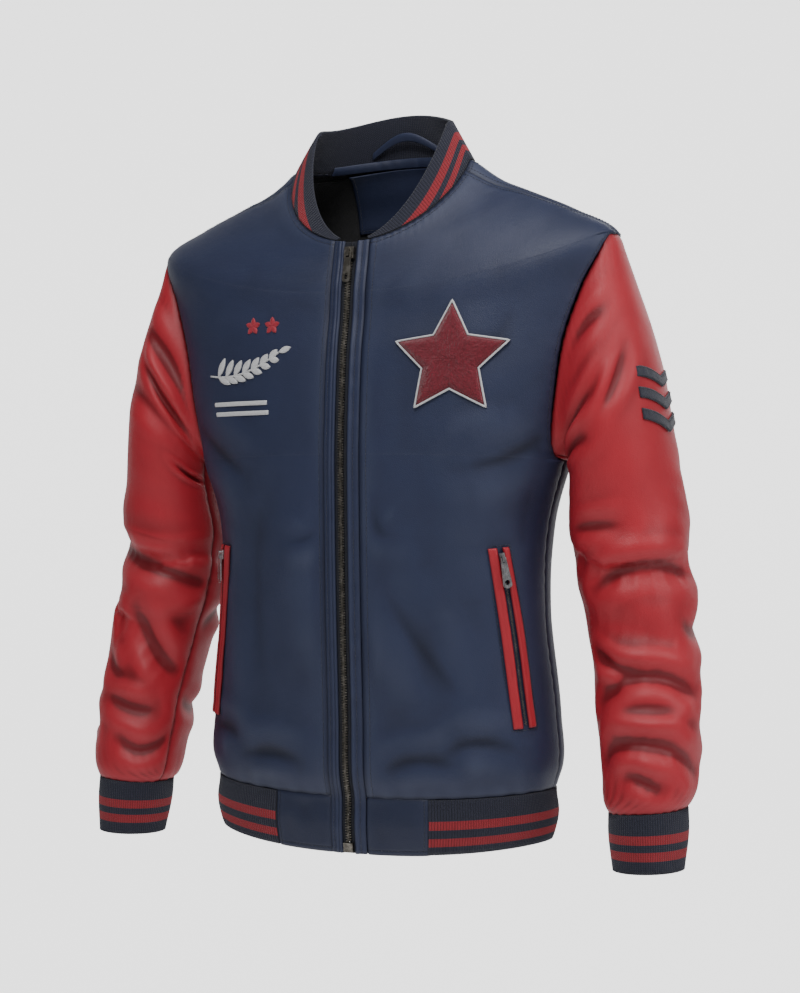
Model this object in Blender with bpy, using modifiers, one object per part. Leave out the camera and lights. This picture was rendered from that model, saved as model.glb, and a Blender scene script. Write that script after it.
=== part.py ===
"""A zip-front varsity jacket, filled out as if worn, one solid for each piece that is cut and sewn.

Metres, +Z up. The front faces -Y and the wearer's left is +X. The origin lies on the middle of
the jacket at the height where the shoulder seams reach the collar, which is where it hangs on
its wearer. Every cloth piece is a thin wall on one of two forms: torso(turn, level) for the body,
collar base and hem band, and sleeve(angle, along) for the sleeves.
"""
import math

import bmesh
import bpy
import numpy as np
from mathutils import Matrix, Vector

# Walls and gaps
LEATHER = 0.0018
RIB = 0.0030
LINING = 0.0010
TAPE = 0.0008
SEAM = 0.0004
LAID_ON = 0.0004
# A piece laid on a curved panel also clears the flats between the panel's own rows of points
FLATS = 0.0006

# The body: sizes all round at each level, which is the height along the side seam above the
# hem band's seam. half_width, front_depth and back_depth reach from the middle of each ring.
# squareness is 2 for an ellipse. ridge shapes how steeply the front falls from the shoulder.
BODY = (
    # level, z_front, z_side, z_back, half_width, y_middle, front_depth, back_depth,
    # squareness, ridge
    (-0.050, -0.6577, -0.6450, -0.6430, 0.1720, -0.0120, 0.0770, 0.0690, 2.30, 2.00),
    (-0.025, -0.6315, -0.6205, -0.6190, 0.1765, -0.0120, 0.0800, 0.0720, 2.30, 2.00),
    (0.000, -0.6045, -0.5960, -0.5950, 0.1755, -0.0120, 0.0800, 0.0720, 2.30, 2.00),
    (0.020, -0.5860, -0.5770, -0.5760, 0.1810, -0.0120, 0.0850, 0.0790, 2.30, 2.00),
    (0.070, -0.5330, -0.5270, -0.5260, 0.1790, -0.0120, 0.0870, 0.0810, 2.30, 2.00),
    (0.165, -0.4330, -0.4310, -0.4300, 0.1690, -0.0140, 0.0900, 0.0820, 2.30, 2.00),
    (0.250, -0.3440, -0.3460, -0.3440, 0.1725, -0.0140, 0.0930, 0.0930, 2.30, 2.00),
    (0.308, -0.2830, -0.2880, -0.2840, 0.1880, -0.0140, 0.0940, 0.1010, 2.30, 2.00),
    (0.370, -0.2330, -0.2300, -0.2220, 0.2030, -0.0120, 0.0940, 0.1030, 2.35, 2.00),
    (0.430, -0.1860, -0.1720, -0.1590, 0.2145, -0.0110, 0.0910, 0.0990, 2.35, 2.00),
    (0.480, -0.1520, -0.1250, -0.1090, 0.2275, -0.0110, 0.0850, 0.0910, 2.30, 2.00),
    (0.530, -0.1290, -0.0770, -0.0640, 0.2380, -0.0100, 0.0840, 0.0830, 2.25, 1.90),
    (0.575, -0.1130, -0.0535, -0.0360, 0.1980, -0.0120, 0.0790, 0.0810, 2.20, 1.70),
    (0.625, -0.0990, -0.0330, -0.0140, 0.1520, -0.0140, 0.0740, 0.0760, 2.10, 1.45),
    (0.670, -0.0890, -0.0180, 0.0020, 0.1190, -0.0160, 0.0705, 0.0730, 2.00, 1.20),
    (0.700, -0.0815, 0.0000, 0.0100, 0.0940, -0.0180, 0.0670, 0.0710, 2.00, 1.05),
)
HEM_BOTTOM, HEM_SEAM, ARMPIT, SHOULDER_TIP, NECK_SEAM = -0.050, 0.0, 0.308, 0.530, 0.700

# The armhole reaches this far round the body from the side seam, as an angle, at its widest
ARMHOLE_FRONT, ARMHOLE_BACK, ARMHOLE_ROUNDNESS = 0.40, 0.46, 0.60
# The sleeve's own points start this far off the armhole: low in front, and over the top
ARMHOLE_GAP_FRONT, ARMHOLE_GAP_TOP = 5 * SEAM, 0.75 * LEATHER
# The shoulder seam lies this far forward of the ridge at the neck
SHOULDER_SEAM_FORWARD = 0.16

# The left sleeve: each ring fans out from the armhole. outer and inner are the ends of its
# width, half_depth reaches to front and back from y_middle. along is measured down the outside.
SLEEVE = (
    # along, outer_x, outer_z, inner_x, inner_z, y_middle, half_depth
    (0.041, 0.2490, -0.1165, 0.1935, -0.2890, -0.004, 0.0600),
    (0.091, 0.2640, -0.1640, 0.1950, -0.2940, -0.002, 0.0670),
    (0.147, 0.2768, -0.2180, 0.1955, -0.3060, 0.000, 0.0700),
    (0.205, 0.2850, -0.2750, 0.1935, -0.3270, 0.004, 0.0695),
    (0.266, 0.2935, -0.3350, 0.1915, -0.3620, 0.010, 0.0650),
    (0.326, 0.3000, -0.3950, 0.1990, -0.4110, 0.011, 0.0600),
    (0.386, 0.3070, -0.4550, 0.2130, -0.4680, 0.004, 0.0560),
    (0.447, 0.3125, -0.5150, 0.2240, -0.5270, -0.009, 0.0530),
    (0.497, 0.3155, -0.5650, 0.2300, -0.5760, -0.018, 0.0500),
    (0.525, 0.3140, -0.5930, 0.2335, -0.6020, -0.024, 0.0465),
    (0.537, 0.3095, -0.6045, 0.2375, -0.6100, -0.0265, 0.0415),
)
SLEEVE_SQUARENESS = 2.15
SLEEVE_LENGTH = 0.537
GIRTH_RADIUS = 0.055
# Seams of the two-piece sleeve, as angles from the outside, forward over the front
FRONT_SLEEVE_SEAM, BACK_SLEEVE_SEAM = math.radians(165), math.radians(255)

# The largest folds of each sleeve, from end to end through a middle point. Height is outward.
# They fade in below the armhole and out above the cuff.
FOLDS_START, FOLDS_FADE_IN, FOLDS_FADE_OUT = 0.10, 0.06, 0.05
LEFT_FOLDS = (
    # angle, along | angle, along | angle, along | width, height
    (150, 0.235, 60, 0.300, -20, 0.215, 0.020, 0.0045),
    (165, 0.275, 60, 0.325, -30, 0.300, 0.014, -0.0055),
    (160, 0.420, 60, 0.482, -30, 0.410, 0.020, 0.0045),
    (160, 0.345, 70, 0.372, 10, 0.400, 0.014, -0.0045),
)
RIGHT_FOLDS = (
    (-10, 0.250, 60, 0.262, 150, 0.250, 0.020, 0.0045),
    (0, 0.275, 70, 0.300, 160, 0.285, 0.014, -0.0055),
    (150, 0.300, 80, 0.345, 10, 0.400, 0.020, 0.0045),
    (20, 0.330, 70, 0.380, 150, 0.440, 0.014, -0.0045),
)

# The collar band stands on the neck seam and leans in to this top edge
COLLAR_TOP = {"half_width": 0.0700, "y_middle": -0.0180, "front": 0.0640, "back": 0.0650}
COLLAR_TOP_Z = {"front": -0.0790, "side": 0.0400, "back": 0.0590, "ridge": 1.15}
# Its foot clears the neck seam, and by more in front where the corner is convex
COLLAR_FOOT_BACK, COLLAR_FOOT_FRONT = 0.0006, 0.0022

# The cuffs: rings from the seam down
CUFF = (
    # down, x_middle, y_middle, z_outer, z_inner, half_width, half_depth
    (0.000, 0.2735, -0.0265, -0.6045, -0.6100, 0.0360, 0.0415),
    (0.018, 0.2742, -0.0280, -0.6230, -0.6270, 0.0365, 0.0405),
    (0.055, 0.2755, -0.0320, -0.6600, -0.6620, 0.0325, 0.0355),
)

# Front opening, measured sideways from the middle
CHAIN_HALF, TAPE_HALF, PLACKET_EDGE = 0.0029, 0.0056, 0.0185
# How far each stands out from the body's form, and its wall
PLACKET_OUT, PLACKET_WALL = 0.0006, 0.0022
TAPE_OUT = -0.0010
CHAIN_OUT, CHAIN_WALL = 0.0012, 0.0026
HEM_TAB_END, HEM_TAB_WALL = 0.0800, 0.0026
ZIP_TOP, ZIP_BOTTOM = -0.0870, -0.6570
# The chain stops short of the end box and of the slider
CHAIN_ABOVE_FOOT, CHAIN_BELOW_TOP = 0.0105, 0.0125
MAIN_SLIDER = {
    "down": 0.006, "out": 0.0038, "body": (0.0098, 0.0115, 0.0042),
    "bridge": (0.0026, 0.0078, 0.0030), "bar": 0.0012, "pull_top": 0.0066,
    "pull_bottom": 0.0082, "pull_length": 0.0300, "pull_hole": (0.0032, 0.0058),
}
END_BOX_SIZE, END_BOX_UP, END_BOX_OUT = (0.0096, 0.0090, 0.0036), 0.0050, 0.0010

# Slanted pockets on both fronts, given on the wearer's left
POCKET_TOP, POCKET_BOTTOM = Vector((0.1440, -0.3690)), Vector((0.1640, -0.5360))
WELT_FRONT, WELT_BACK, POCKET_ZIP_WIDTH = 0.0078, 0.0052, 0.0028
WELT_OUT, WELT_WALL = FLATS + 0.0024, 0.0020
POCKET_ZIP_OUT, POCKET_ZIP_WALL = FLATS + 0.0016, 0.0012
POCKET_SLIDER = {
    "down": 0.055, "out": FLATS + 0.0046, "body": (0.0050, 0.0090, 0.0016),
    "bridge": (0.0020, 0.0066, 0.0026), "bar": 0.0011, "pull_top": 0.0052,
    "pull_bottom": 0.0090, "pull_length": 0.0290, "pull_hole": (0.0046, 0.0048),
}
# A pull's bar turns under the slider's bridge with this much room on every side
BRIDGE_END, BRIDGE_FLOOR, PULL_PLAY = 0.0012, 0.0002, 0.0011

# Inside the back of the neck
BINDING, LINING_GAP = 0.0012, 0.0012
BINDING_REACH, BINDING_RISES = 0.95, (0.03, 0.08, 0.13)
FACING_HALF, FACING_FOOT, FACING_TOP = 0.064, 0.545, 0.694
LINING_DEPTH = 0.12
# The loop's lower and upper edges up the collar, at its ends and how much more in its middle
LOOP_REACH, LOOP_BOW = 0.46, 0.0080
LOOP_LOWER, LOOP_UPPER = (0.18, 0.30), (0.32, 0.32)

# Applied emblems
STAR_CENTRE, STAR_REACH, STAR_EDGE, STAR_NOTCH = (0.1060, -0.1960), 0.0500, 0.0060, 0.50
CHEVRON_ALONG, CHEVRON_STEP, CHEVRON_REACH, CHEVRON_RISE = 0.146, 0.021, 0.62, 0.017
CHEVRON_WIDTH = 0.0110
FELT, PILE = 0.0012, 0.0016


# ---------------------------------------------------------------- forms

def along(rows, mark):
    """Every column of a table, read on a smooth curve at a mark or an array of marks."""
    rows = np.asarray(rows, float)
    marks = rows[:, 0]
    slope = np.gradient(rows, marks, axis=0)
    mark = np.asarray(mark, float)
    row = np.clip(np.searchsorted(marks, mark, side="right") - 1, 0, len(marks) - 2)
    span = (marks[row + 1] - marks[row])[..., None]
    u = (mark - marks[row])[..., None] / span
    start, end = rows[row], rows[row + 1]
    curve = start * (2 * u**3 - 3 * u**2 + 1) + end * (3 * u**2 - 2 * u**3)
    curve += span * (slope[row] * (u**3 - 2 * u**2 + u) + slope[row + 1] * (u**3 - u**2))
    return np.moveaxis(curve, -1, 0)


def torso(turn, level):
    """A point on the body: turn 0 is the middle front, a quarter turn the wearer's left side."""
    (_, z_front, z_side, z_back, half_width, y_middle,
     front, back, squareness, ridge) = along(BODY, level)
    cosine, sine = np.cos(turn), np.sin(turn)
    x = half_width * np.sign(sine) * np.abs(sine) ** (2 / squareness)
    depth = np.where(cosine > 0, front, back)
    y = y_middle - depth * np.sign(cosine) * np.abs(cosine) ** (2 / squareness)
    far_z = np.where(cosine > 0, z_front, z_back)
    fall = np.abs(cosine) ** np.where(cosine > 0, ridge, 2)
    return np.stack([x, y, z_side + (far_z - z_side) * fall], -1)


def turn_at(x, level):
    """The turn at which the front of the body is x from the middle."""
    rings = along(BODY, level)
    return np.arcsin(np.clip(x / rings[4], -1, 1) ** (rings[8] / 2))


def on_front(x, z):
    """The turn and level of a place on the wearer's left front, from its x and z."""
    level = np.interp(z, [row[1] for row in BODY], [row[0] for row in BODY])
    for _ in range(12):
        turn = turn_at(x, level)
        error = z - torso(turn, level)[..., 2]
        level = np.clip(level + error, HEM_BOTTOM, NECK_SEAM)
    return turn_at(x, level), level


def raised(form, first, second, out):
    """Points of a form moved out along its surface by out."""
    step = 1e-4
    points = form(first, second)
    across = form(first + step, second) - form(first - step, second)
    up = form(first, second + step) - form(first, second - step)
    normal = np.cross(across, up)
    normal /= np.maximum(np.linalg.norm(normal, axis=-1, keepdims=True), 1e-12)
    return points + normal * np.asarray(out)[..., None]


def front_point(x, z, out=0.0):
    """A point on or above the wearer's left front, from its x and z."""
    turn, level = on_front(np.asarray(x, float), np.asarray(z, float))
    return raised(torso, turn, level, out)


def armhole(angle):
    """Turn and level of the left armhole's edge: 0 is the shoulder tip, a quarter the front."""
    sine = np.sin(angle)
    reach = np.where(sine > 0, ARMHOLE_FRONT, ARMHOLE_BACK)
    turn = math.pi / 2 - reach * np.sign(sine) * np.abs(sine) ** ARMHOLE_ROUNDNESS
    middle, half = (ARMPIT + SHOULDER_TIP) / 2, (SHOULDER_TIP - ARMPIT) / 2
    return turn, middle + half * np.cos(angle)


def sleeve_columns(angle):
    """Lines down the left sleeve at the given angles, one point for each ring."""
    rings = np.asarray(SLEEVE)
    cosine, sine = np.cos(angle), np.sin(angle)
    power = 2 / SLEEVE_SQUARENESS
    wide = (np.sign(cosine) * np.abs(cosine) ** power)[None, :]
    deep = (np.sign(sine) * np.abs(sine) ** power)[None, :]
    outer, inner = rings[:, None, 1:3], rings[:, None, 3:5]
    middle, half = (outer + inner) / 2, (outer - inner) / 2
    y = rings[:, None, 5] - rings[:, None, 6] * deep
    flat = middle + half * wide[..., None]
    points = np.stack([flat[..., 0], y, flat[..., 1]], -1)
    # A convex corner runs over the top and down the front, so the sleeve starts further out there
    start = torso(*armhole(angle))
    away = points[0] - start
    away /= np.linalg.norm(away, axis=-1, keepdims=True)
    gap = 2 * SEAM + (ARMHOLE_GAP_FRONT - 2 * SEAM) * np.clip(sine, 0, 1)
    gap += ARMHOLE_GAP_TOP * np.clip(cosine + 0.35, 0, 1)
    start = start + away * gap[:, None]
    return np.concatenate([start[None], points])


def fold_height(angle, reach, folds):
    """How far the folds lift the sleeve at each angle and distance along it."""
    lift = np.zeros(np.broadcast(angle, reach).shape)
    for a0, s0, a1, s1, a2, s2, width, height in folds:
        for u in np.linspace(0, 1, 13):
            share = np.array([(1 - u) ** 2, 2 * u * (1 - u), u**2])
            at_angle = math.radians(share @ (a0, 2 * a1 - (a0 + a2) / 2, a2))
            at_along = share @ (s0, 2 * s1 - (s0 + s2) / 2, s2)
            turned = (angle - at_angle + math.pi) % (2 * math.pi) - math.pi
            away = np.hypot(turned * GIRTH_RADIUS, reach - at_along) / width
            bump = height * math.sin(math.pi * (0.08 + 0.84 * u)) * np.exp(-away**2)
            lift = np.where(np.abs(bump) > np.abs(lift), bump, lift)
    return lift


def sleeve_grid(angles, marks, folds, out=0.0):
    """A grid of points on the left sleeve: a row for each mark, a column for each angle."""
    angles, marks = np.asarray(angles, float), np.asarray(marks, float)
    columns = sleeve_columns(angles)
    stations = np.concatenate([[0.0], np.asarray(SLEEVE)[:, 0]])
    table = np.concatenate([stations[:, None], columns.reshape(len(stations), -1)], 1)
    points = along(table, marks)[1:].T.reshape(len(marks), len(angles), 3)
    around = np.linspace(0, 2 * math.pi, 32, endpoint=False)
    whole = sleeve_columns(around)
    table = np.concatenate([stations[:, None], whole.mean(1)], 1)
    middle = along(table, marks)[1:].T[:, None, :]
    outward = points - middle
    outward /= np.linalg.norm(outward, axis=-1, keepdims=True)
    lift = fold_height(angles[None, :], marks[:, None], folds)
    lift = lift * np.clip((marks[:, None] - FOLDS_START) / FOLDS_FADE_IN, 0, 1)
    lift = lift * np.clip((SLEEVE_LENGTH - marks[:, None]) / FOLDS_FADE_OUT, 0, 1)
    return points + outward * (lift + out)[..., None]


def collar(turn, rise):
    """A point on the collar band: rise 0 is the neck seam and 1 the top edge."""
    base = torso(turn, np.full_like(turn, NECK_SEAM))
    cosine, sine = np.cos(turn), np.sin(turn)
    depth = np.where(cosine > 0, COLLAR_TOP["front"], COLLAR_TOP["back"])
    x = COLLAR_TOP["half_width"] * sine
    y = COLLAR_TOP["y_middle"] - depth * cosine
    far_z = np.where(cosine > 0, COLLAR_TOP_Z["front"], COLLAR_TOP_Z["back"])
    fall = np.abs(cosine) ** np.where(cosine > 0, COLLAR_TOP_Z["ridge"], 2)
    z = COLLAR_TOP_Z["side"] + (far_z - COLLAR_TOP_Z["side"]) * fall
    top = np.stack([x, y, z], -1)
    return base + (top - base) * np.asarray(rise)[..., None]


def cuff_grid(angles, drops):
    """A grid of points on the left cuff."""
    _, x, y, outer, inner, half_width, half_depth = along(CUFF, drops)[..., None]
    cosine = np.cos(angles)[None, :]
    z = (outer + inner) / 2 + (outer - inner) / 2 * cosine
    return np.stack([x + half_width * cosine, y - half_depth * np.sin(angles)[None, :], z], -1)


# ---------------------------------------------------------------- making solids

def mirrored(grid):
    """The same piece on the wearer's right."""
    return grid[:, ::-1] * np.array([-1.0, 1.0, 1.0])


def finish(name, mesh, material, collection):
    """Put a mesh in the scene under its own name, with its own material."""
    mesh.materials.append(material)
    piece = bpy.data.objects.new(name, mesh)
    collection.objects.link(piece)
    return piece


def cloth(name, grid, wall, material, collection, closed=False):
    """A thin wall on a grid of points, whose outer face is the grid and faces outward."""
    rows, columns = grid.shape[:2]
    faces = []
    for row in range(rows - 1):
        for column in range(columns if closed else columns - 1):
            beside = (column + 1) % columns
            faces.append((row * columns + column, row * columns + beside,
                          (row + 1) * columns + beside, (row + 1) * columns + column))
    mesh = bpy.data.meshes.new(name)
    mesh.from_pydata(grid.reshape(-1, 3).tolist(), [], faces)
    mesh.validate()
    mesh.shade_smooth()
    piece = finish(name, mesh, material, collection)
    solid = piece.modifiers.new("Wall", "SOLIDIFY")
    solid.thickness = wall
    solid.offset = -1
    return piece


def flat_outline(name, outlines, thickness, place, material, collection):
    """A plate with holes: closed outlines in its own plane, the first one outside."""
    curve = bpy.data.curves.new(name, "CURVE")
    curve.dimensions = "2D"
    curve.fill_mode = "BOTH"
    curve.extrude = thickness / 2
    for outline in outlines:
        spline = curve.splines.new("POLY")
        spline.points.add(len(outline) - 1)
        for point, (x, y) in zip(spline.points, outline):
            point.co = (x, y, 0, 1)
        spline.use_cyclic_u = True
    drawn = bpy.data.objects.new(name + "_outline", curve)
    collection.objects.link(drawn)
    bpy.context.view_layer.update()
    seen = drawn.evaluated_get(bpy.context.evaluated_depsgraph_get())
    mesh = bpy.data.meshes.new_from_object(seen)
    bpy.data.objects.remove(drawn)
    shape = bmesh.new()
    shape.from_mesh(mesh)
    bmesh.ops.remove_doubles(shape, verts=shape.verts, dist=1e-6)
    shape.to_mesh(mesh)
    shape.free()
    mesh.materials.clear()
    mesh.name = name
    piece = finish(name, mesh, material, collection)
    piece.matrix_world = place
    return piece


def box(name, size, place, material, collection):
    """A block of the given size about a place."""
    shape = bmesh.new()
    bmesh.ops.create_cube(shape, size=1.0)
    bmesh.ops.scale(shape, vec=size, verts=shape.verts)
    mesh = bpy.data.meshes.new(name)
    shape.to_mesh(mesh)
    shape.free()
    piece = finish(name, mesh, material, collection)
    piece.matrix_world = place
    return piece


def rounded(width, height, corner, centre=(0.0, 0.0), steps=4):
    """Outline of a rectangle with round corners."""
    points = []
    for quarter, (sx, sy) in enumerate(((1, 1), (-1, 1), (-1, -1), (1, -1))):
        for step in range(steps + 1):
            angle = math.pi / 2 * (quarter + step / steps)
            points.append((centre[0] + sx * (width / 2 - corner) + corner * math.cos(angle),
                           centre[1] + sy * (height / 2 - corner) + corner * math.sin(angle)))
    return points


def cut(piece, cutter):
    """Take a cutter's shape out of a piece."""
    hole = piece.modifiers.new("Cut", "BOOLEAN")
    hole.operation = "DIFFERENCE"
    hole.solver = "EXACT"
    hole.object = cutter
    cutter.hide_render = True
    cutter.display_type = "WIRE"


def finish_material(name, colour, roughness, metallic=0.0):
    """A plain finish."""
    material = bpy.data.materials.new(name)
    material.use_nodes = True
    shader = material.node_tree.nodes["Principled BSDF"]
    shader.inputs["Base Color"].default_value = (*colour, 1.0)
    shader.inputs["Roughness"].default_value = roughness
    shader.inputs["Metallic"].default_value = metallic
    return material


def shares_across(count):
    """Even shares across a panel, with one more column close inside each edge."""
    even = np.linspace(0, 1, count)
    close = 0.2 / (count - 1)
    return np.concatenate([[0.0, close], even[1:-1], [1 - close, 1.0]])


def panel_turns(first, last, count):
    """Turns across each row of a panel, from its first edge to its last."""
    return first[:, None] + (last - first)[:, None] * shares_across(count)[None, :]


def trimmed(turn, level, gap):
    """A turn moved on by a distance along the body."""
    step = 1e-3
    reach = torso(turn + step, level) - torso(turn - step, level)
    return turn + gap * 2 * step / np.linalg.norm(reach, axis=-1)


# ---------------------------------------------------------------- pieces

def panel_levels():
    """Levels of the body panels' rows from hem to neck; those of the armhole match the sleeve."""
    below = np.linspace(HEM_SEAM, ARMPIT, 7)[:-1]
    below[0] += SEAM
    beside = armhole(np.linspace(math.pi, 0, 13))[1]
    above = np.linspace(SHOULDER_TIP, NECK_SEAM, 5)[1:]
    above[-1] -= SEAM
    return below, beside, above


def side_edges(back):
    """The turn of the side seam, armhole and shoulder seam at every row of a panel."""
    below, beside, above = panel_levels()
    angles = np.linspace(math.pi, 0, 13) * (-1 if back else 1)
    rise = (above - SHOULDER_TIP) / (NECK_SEAM - SHOULDER_TIP)
    shoulder = math.pi / 2 - SHOULDER_SEAM_FORWARD * np.sqrt(rise)
    return np.concatenate([np.full(len(below), math.pi / 2), armhole(angles)[0], shoulder])


def body_panels(finishes, collection):
    levels = np.concatenate(panel_levels())
    first = turn_at(np.full(len(levels), PLACKET_EDGE + SEAM), levels)
    last = trimmed(side_edges(False), levels, -SEAM / 2)
    turns = panel_turns(first, last, 11)
    front = torso(turns, np.broadcast_to(levels[:, None], turns.shape))
    cloth("front_left", front, LEATHER, finishes["blue_leather"], collection)
    cloth("front_right", mirrored(front), LEATHER, finishes["blue_leather"], collection)
    start = trimmed(side_edges(True), levels, SEAM / 2)
    turns = panel_turns(start, 2 * math.pi - start, 15)
    back = torso(turns, np.broadcast_to(levels[:, None], turns.shape))
    cloth("back", back, LEATHER, finishes["blue_leather"], collection)
    # The lining behind the back shows through the neck
    rows = levels > SHOULDER_TIP - LINING_DEPTH
    inside = raised(torso, turns[rows], np.broadcast_to(levels[rows][:, None], turns[rows].shape),
                    -(LEATHER + LINING_GAP))
    reach = slice(3, -3)
    cloth("back_lining", inside[1:-1, reach], LINING, finishes["lining"], collection)


def plackets_and_tapes(finishes, collection):
    levels = np.linspace(HEM_BOTTOM, NECK_SEAM - SEAM, 15)
    strips = (("placket", TAPE_HALF + SEAM, PLACKET_EDGE - SEAM / 2, PLACKET_OUT, PLACKET_WALL,
               "blue_leather"),
              ("zip_tape", CHAIN_HALF + SEAM, TAPE_HALF, TAPE_OUT, TAPE, "zip_tape"))
    for name, near, far, out, wall, finish_name in strips:
        columns = np.linspace(near, far, 3)
        grid = np.stack([raised(torso, turn_at(np.full(len(levels), x), levels), levels, out)
                         for x in columns], 1)
        cloth(name + "_left", grid, wall, finishes[finish_name], collection)
        cloth(name + "_right", mirrored(grid), wall, finishes[finish_name], collection)


def middle_line(z, out):
    """Points above the middle of the front at the given heights."""
    heights = [row[1] for row in BODY]
    level = np.interp(z, heights, [row[0] for row in BODY])
    for _ in range(12):
        level = level + (z - torso(np.zeros_like(level), level)[..., 2])
    return raised(torso, np.full_like(level, 1e-3), level, out) * np.array([0.0, 1.0, 1.0])


def chain(finishes, collection):
    heights = np.linspace(ZIP_BOTTOM + CHAIN_ABOVE_FOOT, ZIP_TOP - CHAIN_BELOW_TOP, 14)
    line = middle_line(heights, CHAIN_OUT)
    grid = np.stack([line + np.array([x, 0.0, 0.0]) for x in (-CHAIN_HALF, 0.0, CHAIN_HALF)], 1)
    cloth("zip_chain", grid, CHAIN_WALL, finishes["gunmetal"], collection)


def frame_at(origin, up, out):
    """A matrix whose Y runs up a zip and whose Z points out of the cloth."""
    up = Vector(up).normalized()
    across = up.cross(Vector(out)).normalized()
    out = across.cross(up).normalized()
    turned = Matrix((across, up, out)).transposed().to_4x4()
    return Matrix.Translation(Vector(origin)) @ turned


def slider_and_pull(name, place, sizes, finish_name, finishes, collection, cutters):
    """A slider with a bridge, and the pull tab whose top bar turns under the bridge.

    place is a frame at the middle of the slider's front face. The bridge stands out along Z, and
    the joint's axis is its X through the bar's middle.
    """
    width, length, depth = sizes["body"]
    body = box(name + "_slider", (width, length, depth),
               place @ Matrix.Translation((0, 0, -depth / 2)), finishes[finish_name], collection)
    bridge_width, bridge_length, bridge_out = sizes["bridge"]
    bar = sizes["bar"]
    root = depth / 2
    bridge = box(name + "_bridge_block", (bridge_width, bridge_length, bridge_out + root),
                 place @ Matrix.Translation((0, 0, (bridge_out - root) / 2)),
                 finishes[finish_name], cutters)
    bridge.hide_render = True
    bridge.display_type = "WIRE"
    join = body.modifiers.new("Bridge", "BOOLEAN")
    join.operation = "UNION"
    join.solver = "EXACT"
    join.object = bridge
    eye = bar + PULL_PLAY
    axis = place @ Matrix.Translation((0, 0, BRIDGE_FLOOR + eye / 2))
    hole = box(name + "_bridge_hole", (bridge_width * 2, bridge_length - 2 * BRIDGE_END, eye),
               axis, finishes[finish_name], cutters)
    cut(body, hole)
    top = bar / 2
    clear = bridge_width + 2 * SEAM
    window = math.hypot(bridge_length / 2, bridge_out) + SEAM
    bottom = -sizes["pull_length"] + top
    narrow, wide = sizes["pull_top"] / 2, sizes["pull_bottom"] / 2
    outline = [(narrow, top), (-narrow, top)]
    for step in range(9):
        angle = math.pi + math.pi * step / 8
        outline.append((wide * math.cos(angle), bottom + wide * 0.8 * (1 + math.sin(angle))))
    eyelet = [(-clear / 2, -top), (clear / 2, -top), (clear / 2, -window), (-clear / 2, -window)]
    lower = sizes["pull_hole"]
    hole_outline = rounded(lower[0], lower[1], lower[0] * 0.49,
                           (0.0, bottom + wide * 0.7 + lower[1] / 2), 3)
    flat_outline(name + "_pull", (outline, eyelet, hole_outline), bar, axis,
                 finishes[finish_name], collection)


def place_on_zip(z, out):
    """A frame on the middle of the front at a height, standing off by out."""
    here, below = middle_line(np.array([z, z - 0.010]), 0.0)
    up = here - below
    away = np.cross(np.array([1.0, 0.0, 0.0]), up)
    away /= np.linalg.norm(away)
    return frame_at(here + away * out, up, away)


def main_zip(finishes, collection, cutters):
    chain(finishes, collection)
    place = place_on_zip(ZIP_TOP - MAIN_SLIDER["down"], MAIN_SLIDER["out"])
    slider_and_pull("zip", place, MAIN_SLIDER, "gunmetal", finishes, collection, cutters)
    place = place_on_zip(ZIP_BOTTOM + END_BOX_UP, END_BOX_OUT)
    box("zip_end_box", END_BOX_SIZE, place, finishes["gunmetal"], collection)


def pocket_line(share, side, out):
    """A point on the pocket's slanted line, set off to its side."""
    share = np.asarray(share, float)
    line = POCKET_BOTTOM - POCKET_TOP
    square = Vector((line.y, -line.x)).normalized() * -1
    x = POCKET_TOP.x + line.x * share + square.x * side
    z = POCKET_TOP.y + line.y * share + square.y * side
    return front_point(x, z, out)


def pockets(finishes, collection, cutters):
    shares = np.linspace(0, 1, 12)
    gap = POCKET_ZIP_WIDTH / 2
    # Each piece's near and far edges from the pocket's line, towards the middle front first
    pieces = (("welt_front", -(gap + WELT_FRONT), -gap - SEAM, WELT_OUT, WELT_WALL,
               "red_leather"),
              ("welt_back", gap + SEAM, gap + WELT_BACK, WELT_OUT, WELT_WALL, "red_leather"),
              ("zip", -gap, gap, POCKET_ZIP_OUT, POCKET_ZIP_WALL, "gunmetal"))
    for name, near, far, out, wall, finish_name in pieces:
        grid = np.stack([pocket_line(shares, side, out) for side in np.linspace(near, far, 3)], 1)
        grid = grid[::-1]
        cloth("pocket_left_" + name, grid, wall, finishes[finish_name], collection)
        cloth("pocket_right_" + name, mirrored(grid), wall, finishes[finish_name], collection)
    down = POCKET_SLIDER["down"]
    top = pocket_line(down, 0.0, 0.0)
    below = pocket_line(down + 0.06, 0.0, 0.0)
    lifted = pocket_line(down, 0.0, 0.001)
    for side, flip in (("left", 1.0), ("right", -1.0)):
        mirror = np.array([flip, 1.0, 1.0])
        out = (lifted - top) * mirror
        out /= np.linalg.norm(out)
        origin = top * mirror + out * POCKET_SLIDER["out"]
        place = frame_at(origin, (top - below) * mirror, out)
        slider_and_pull("pocket_" + side, place, POCKET_SLIDER, "silver_metal", finishes,
                        collection, cutters)


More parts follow.
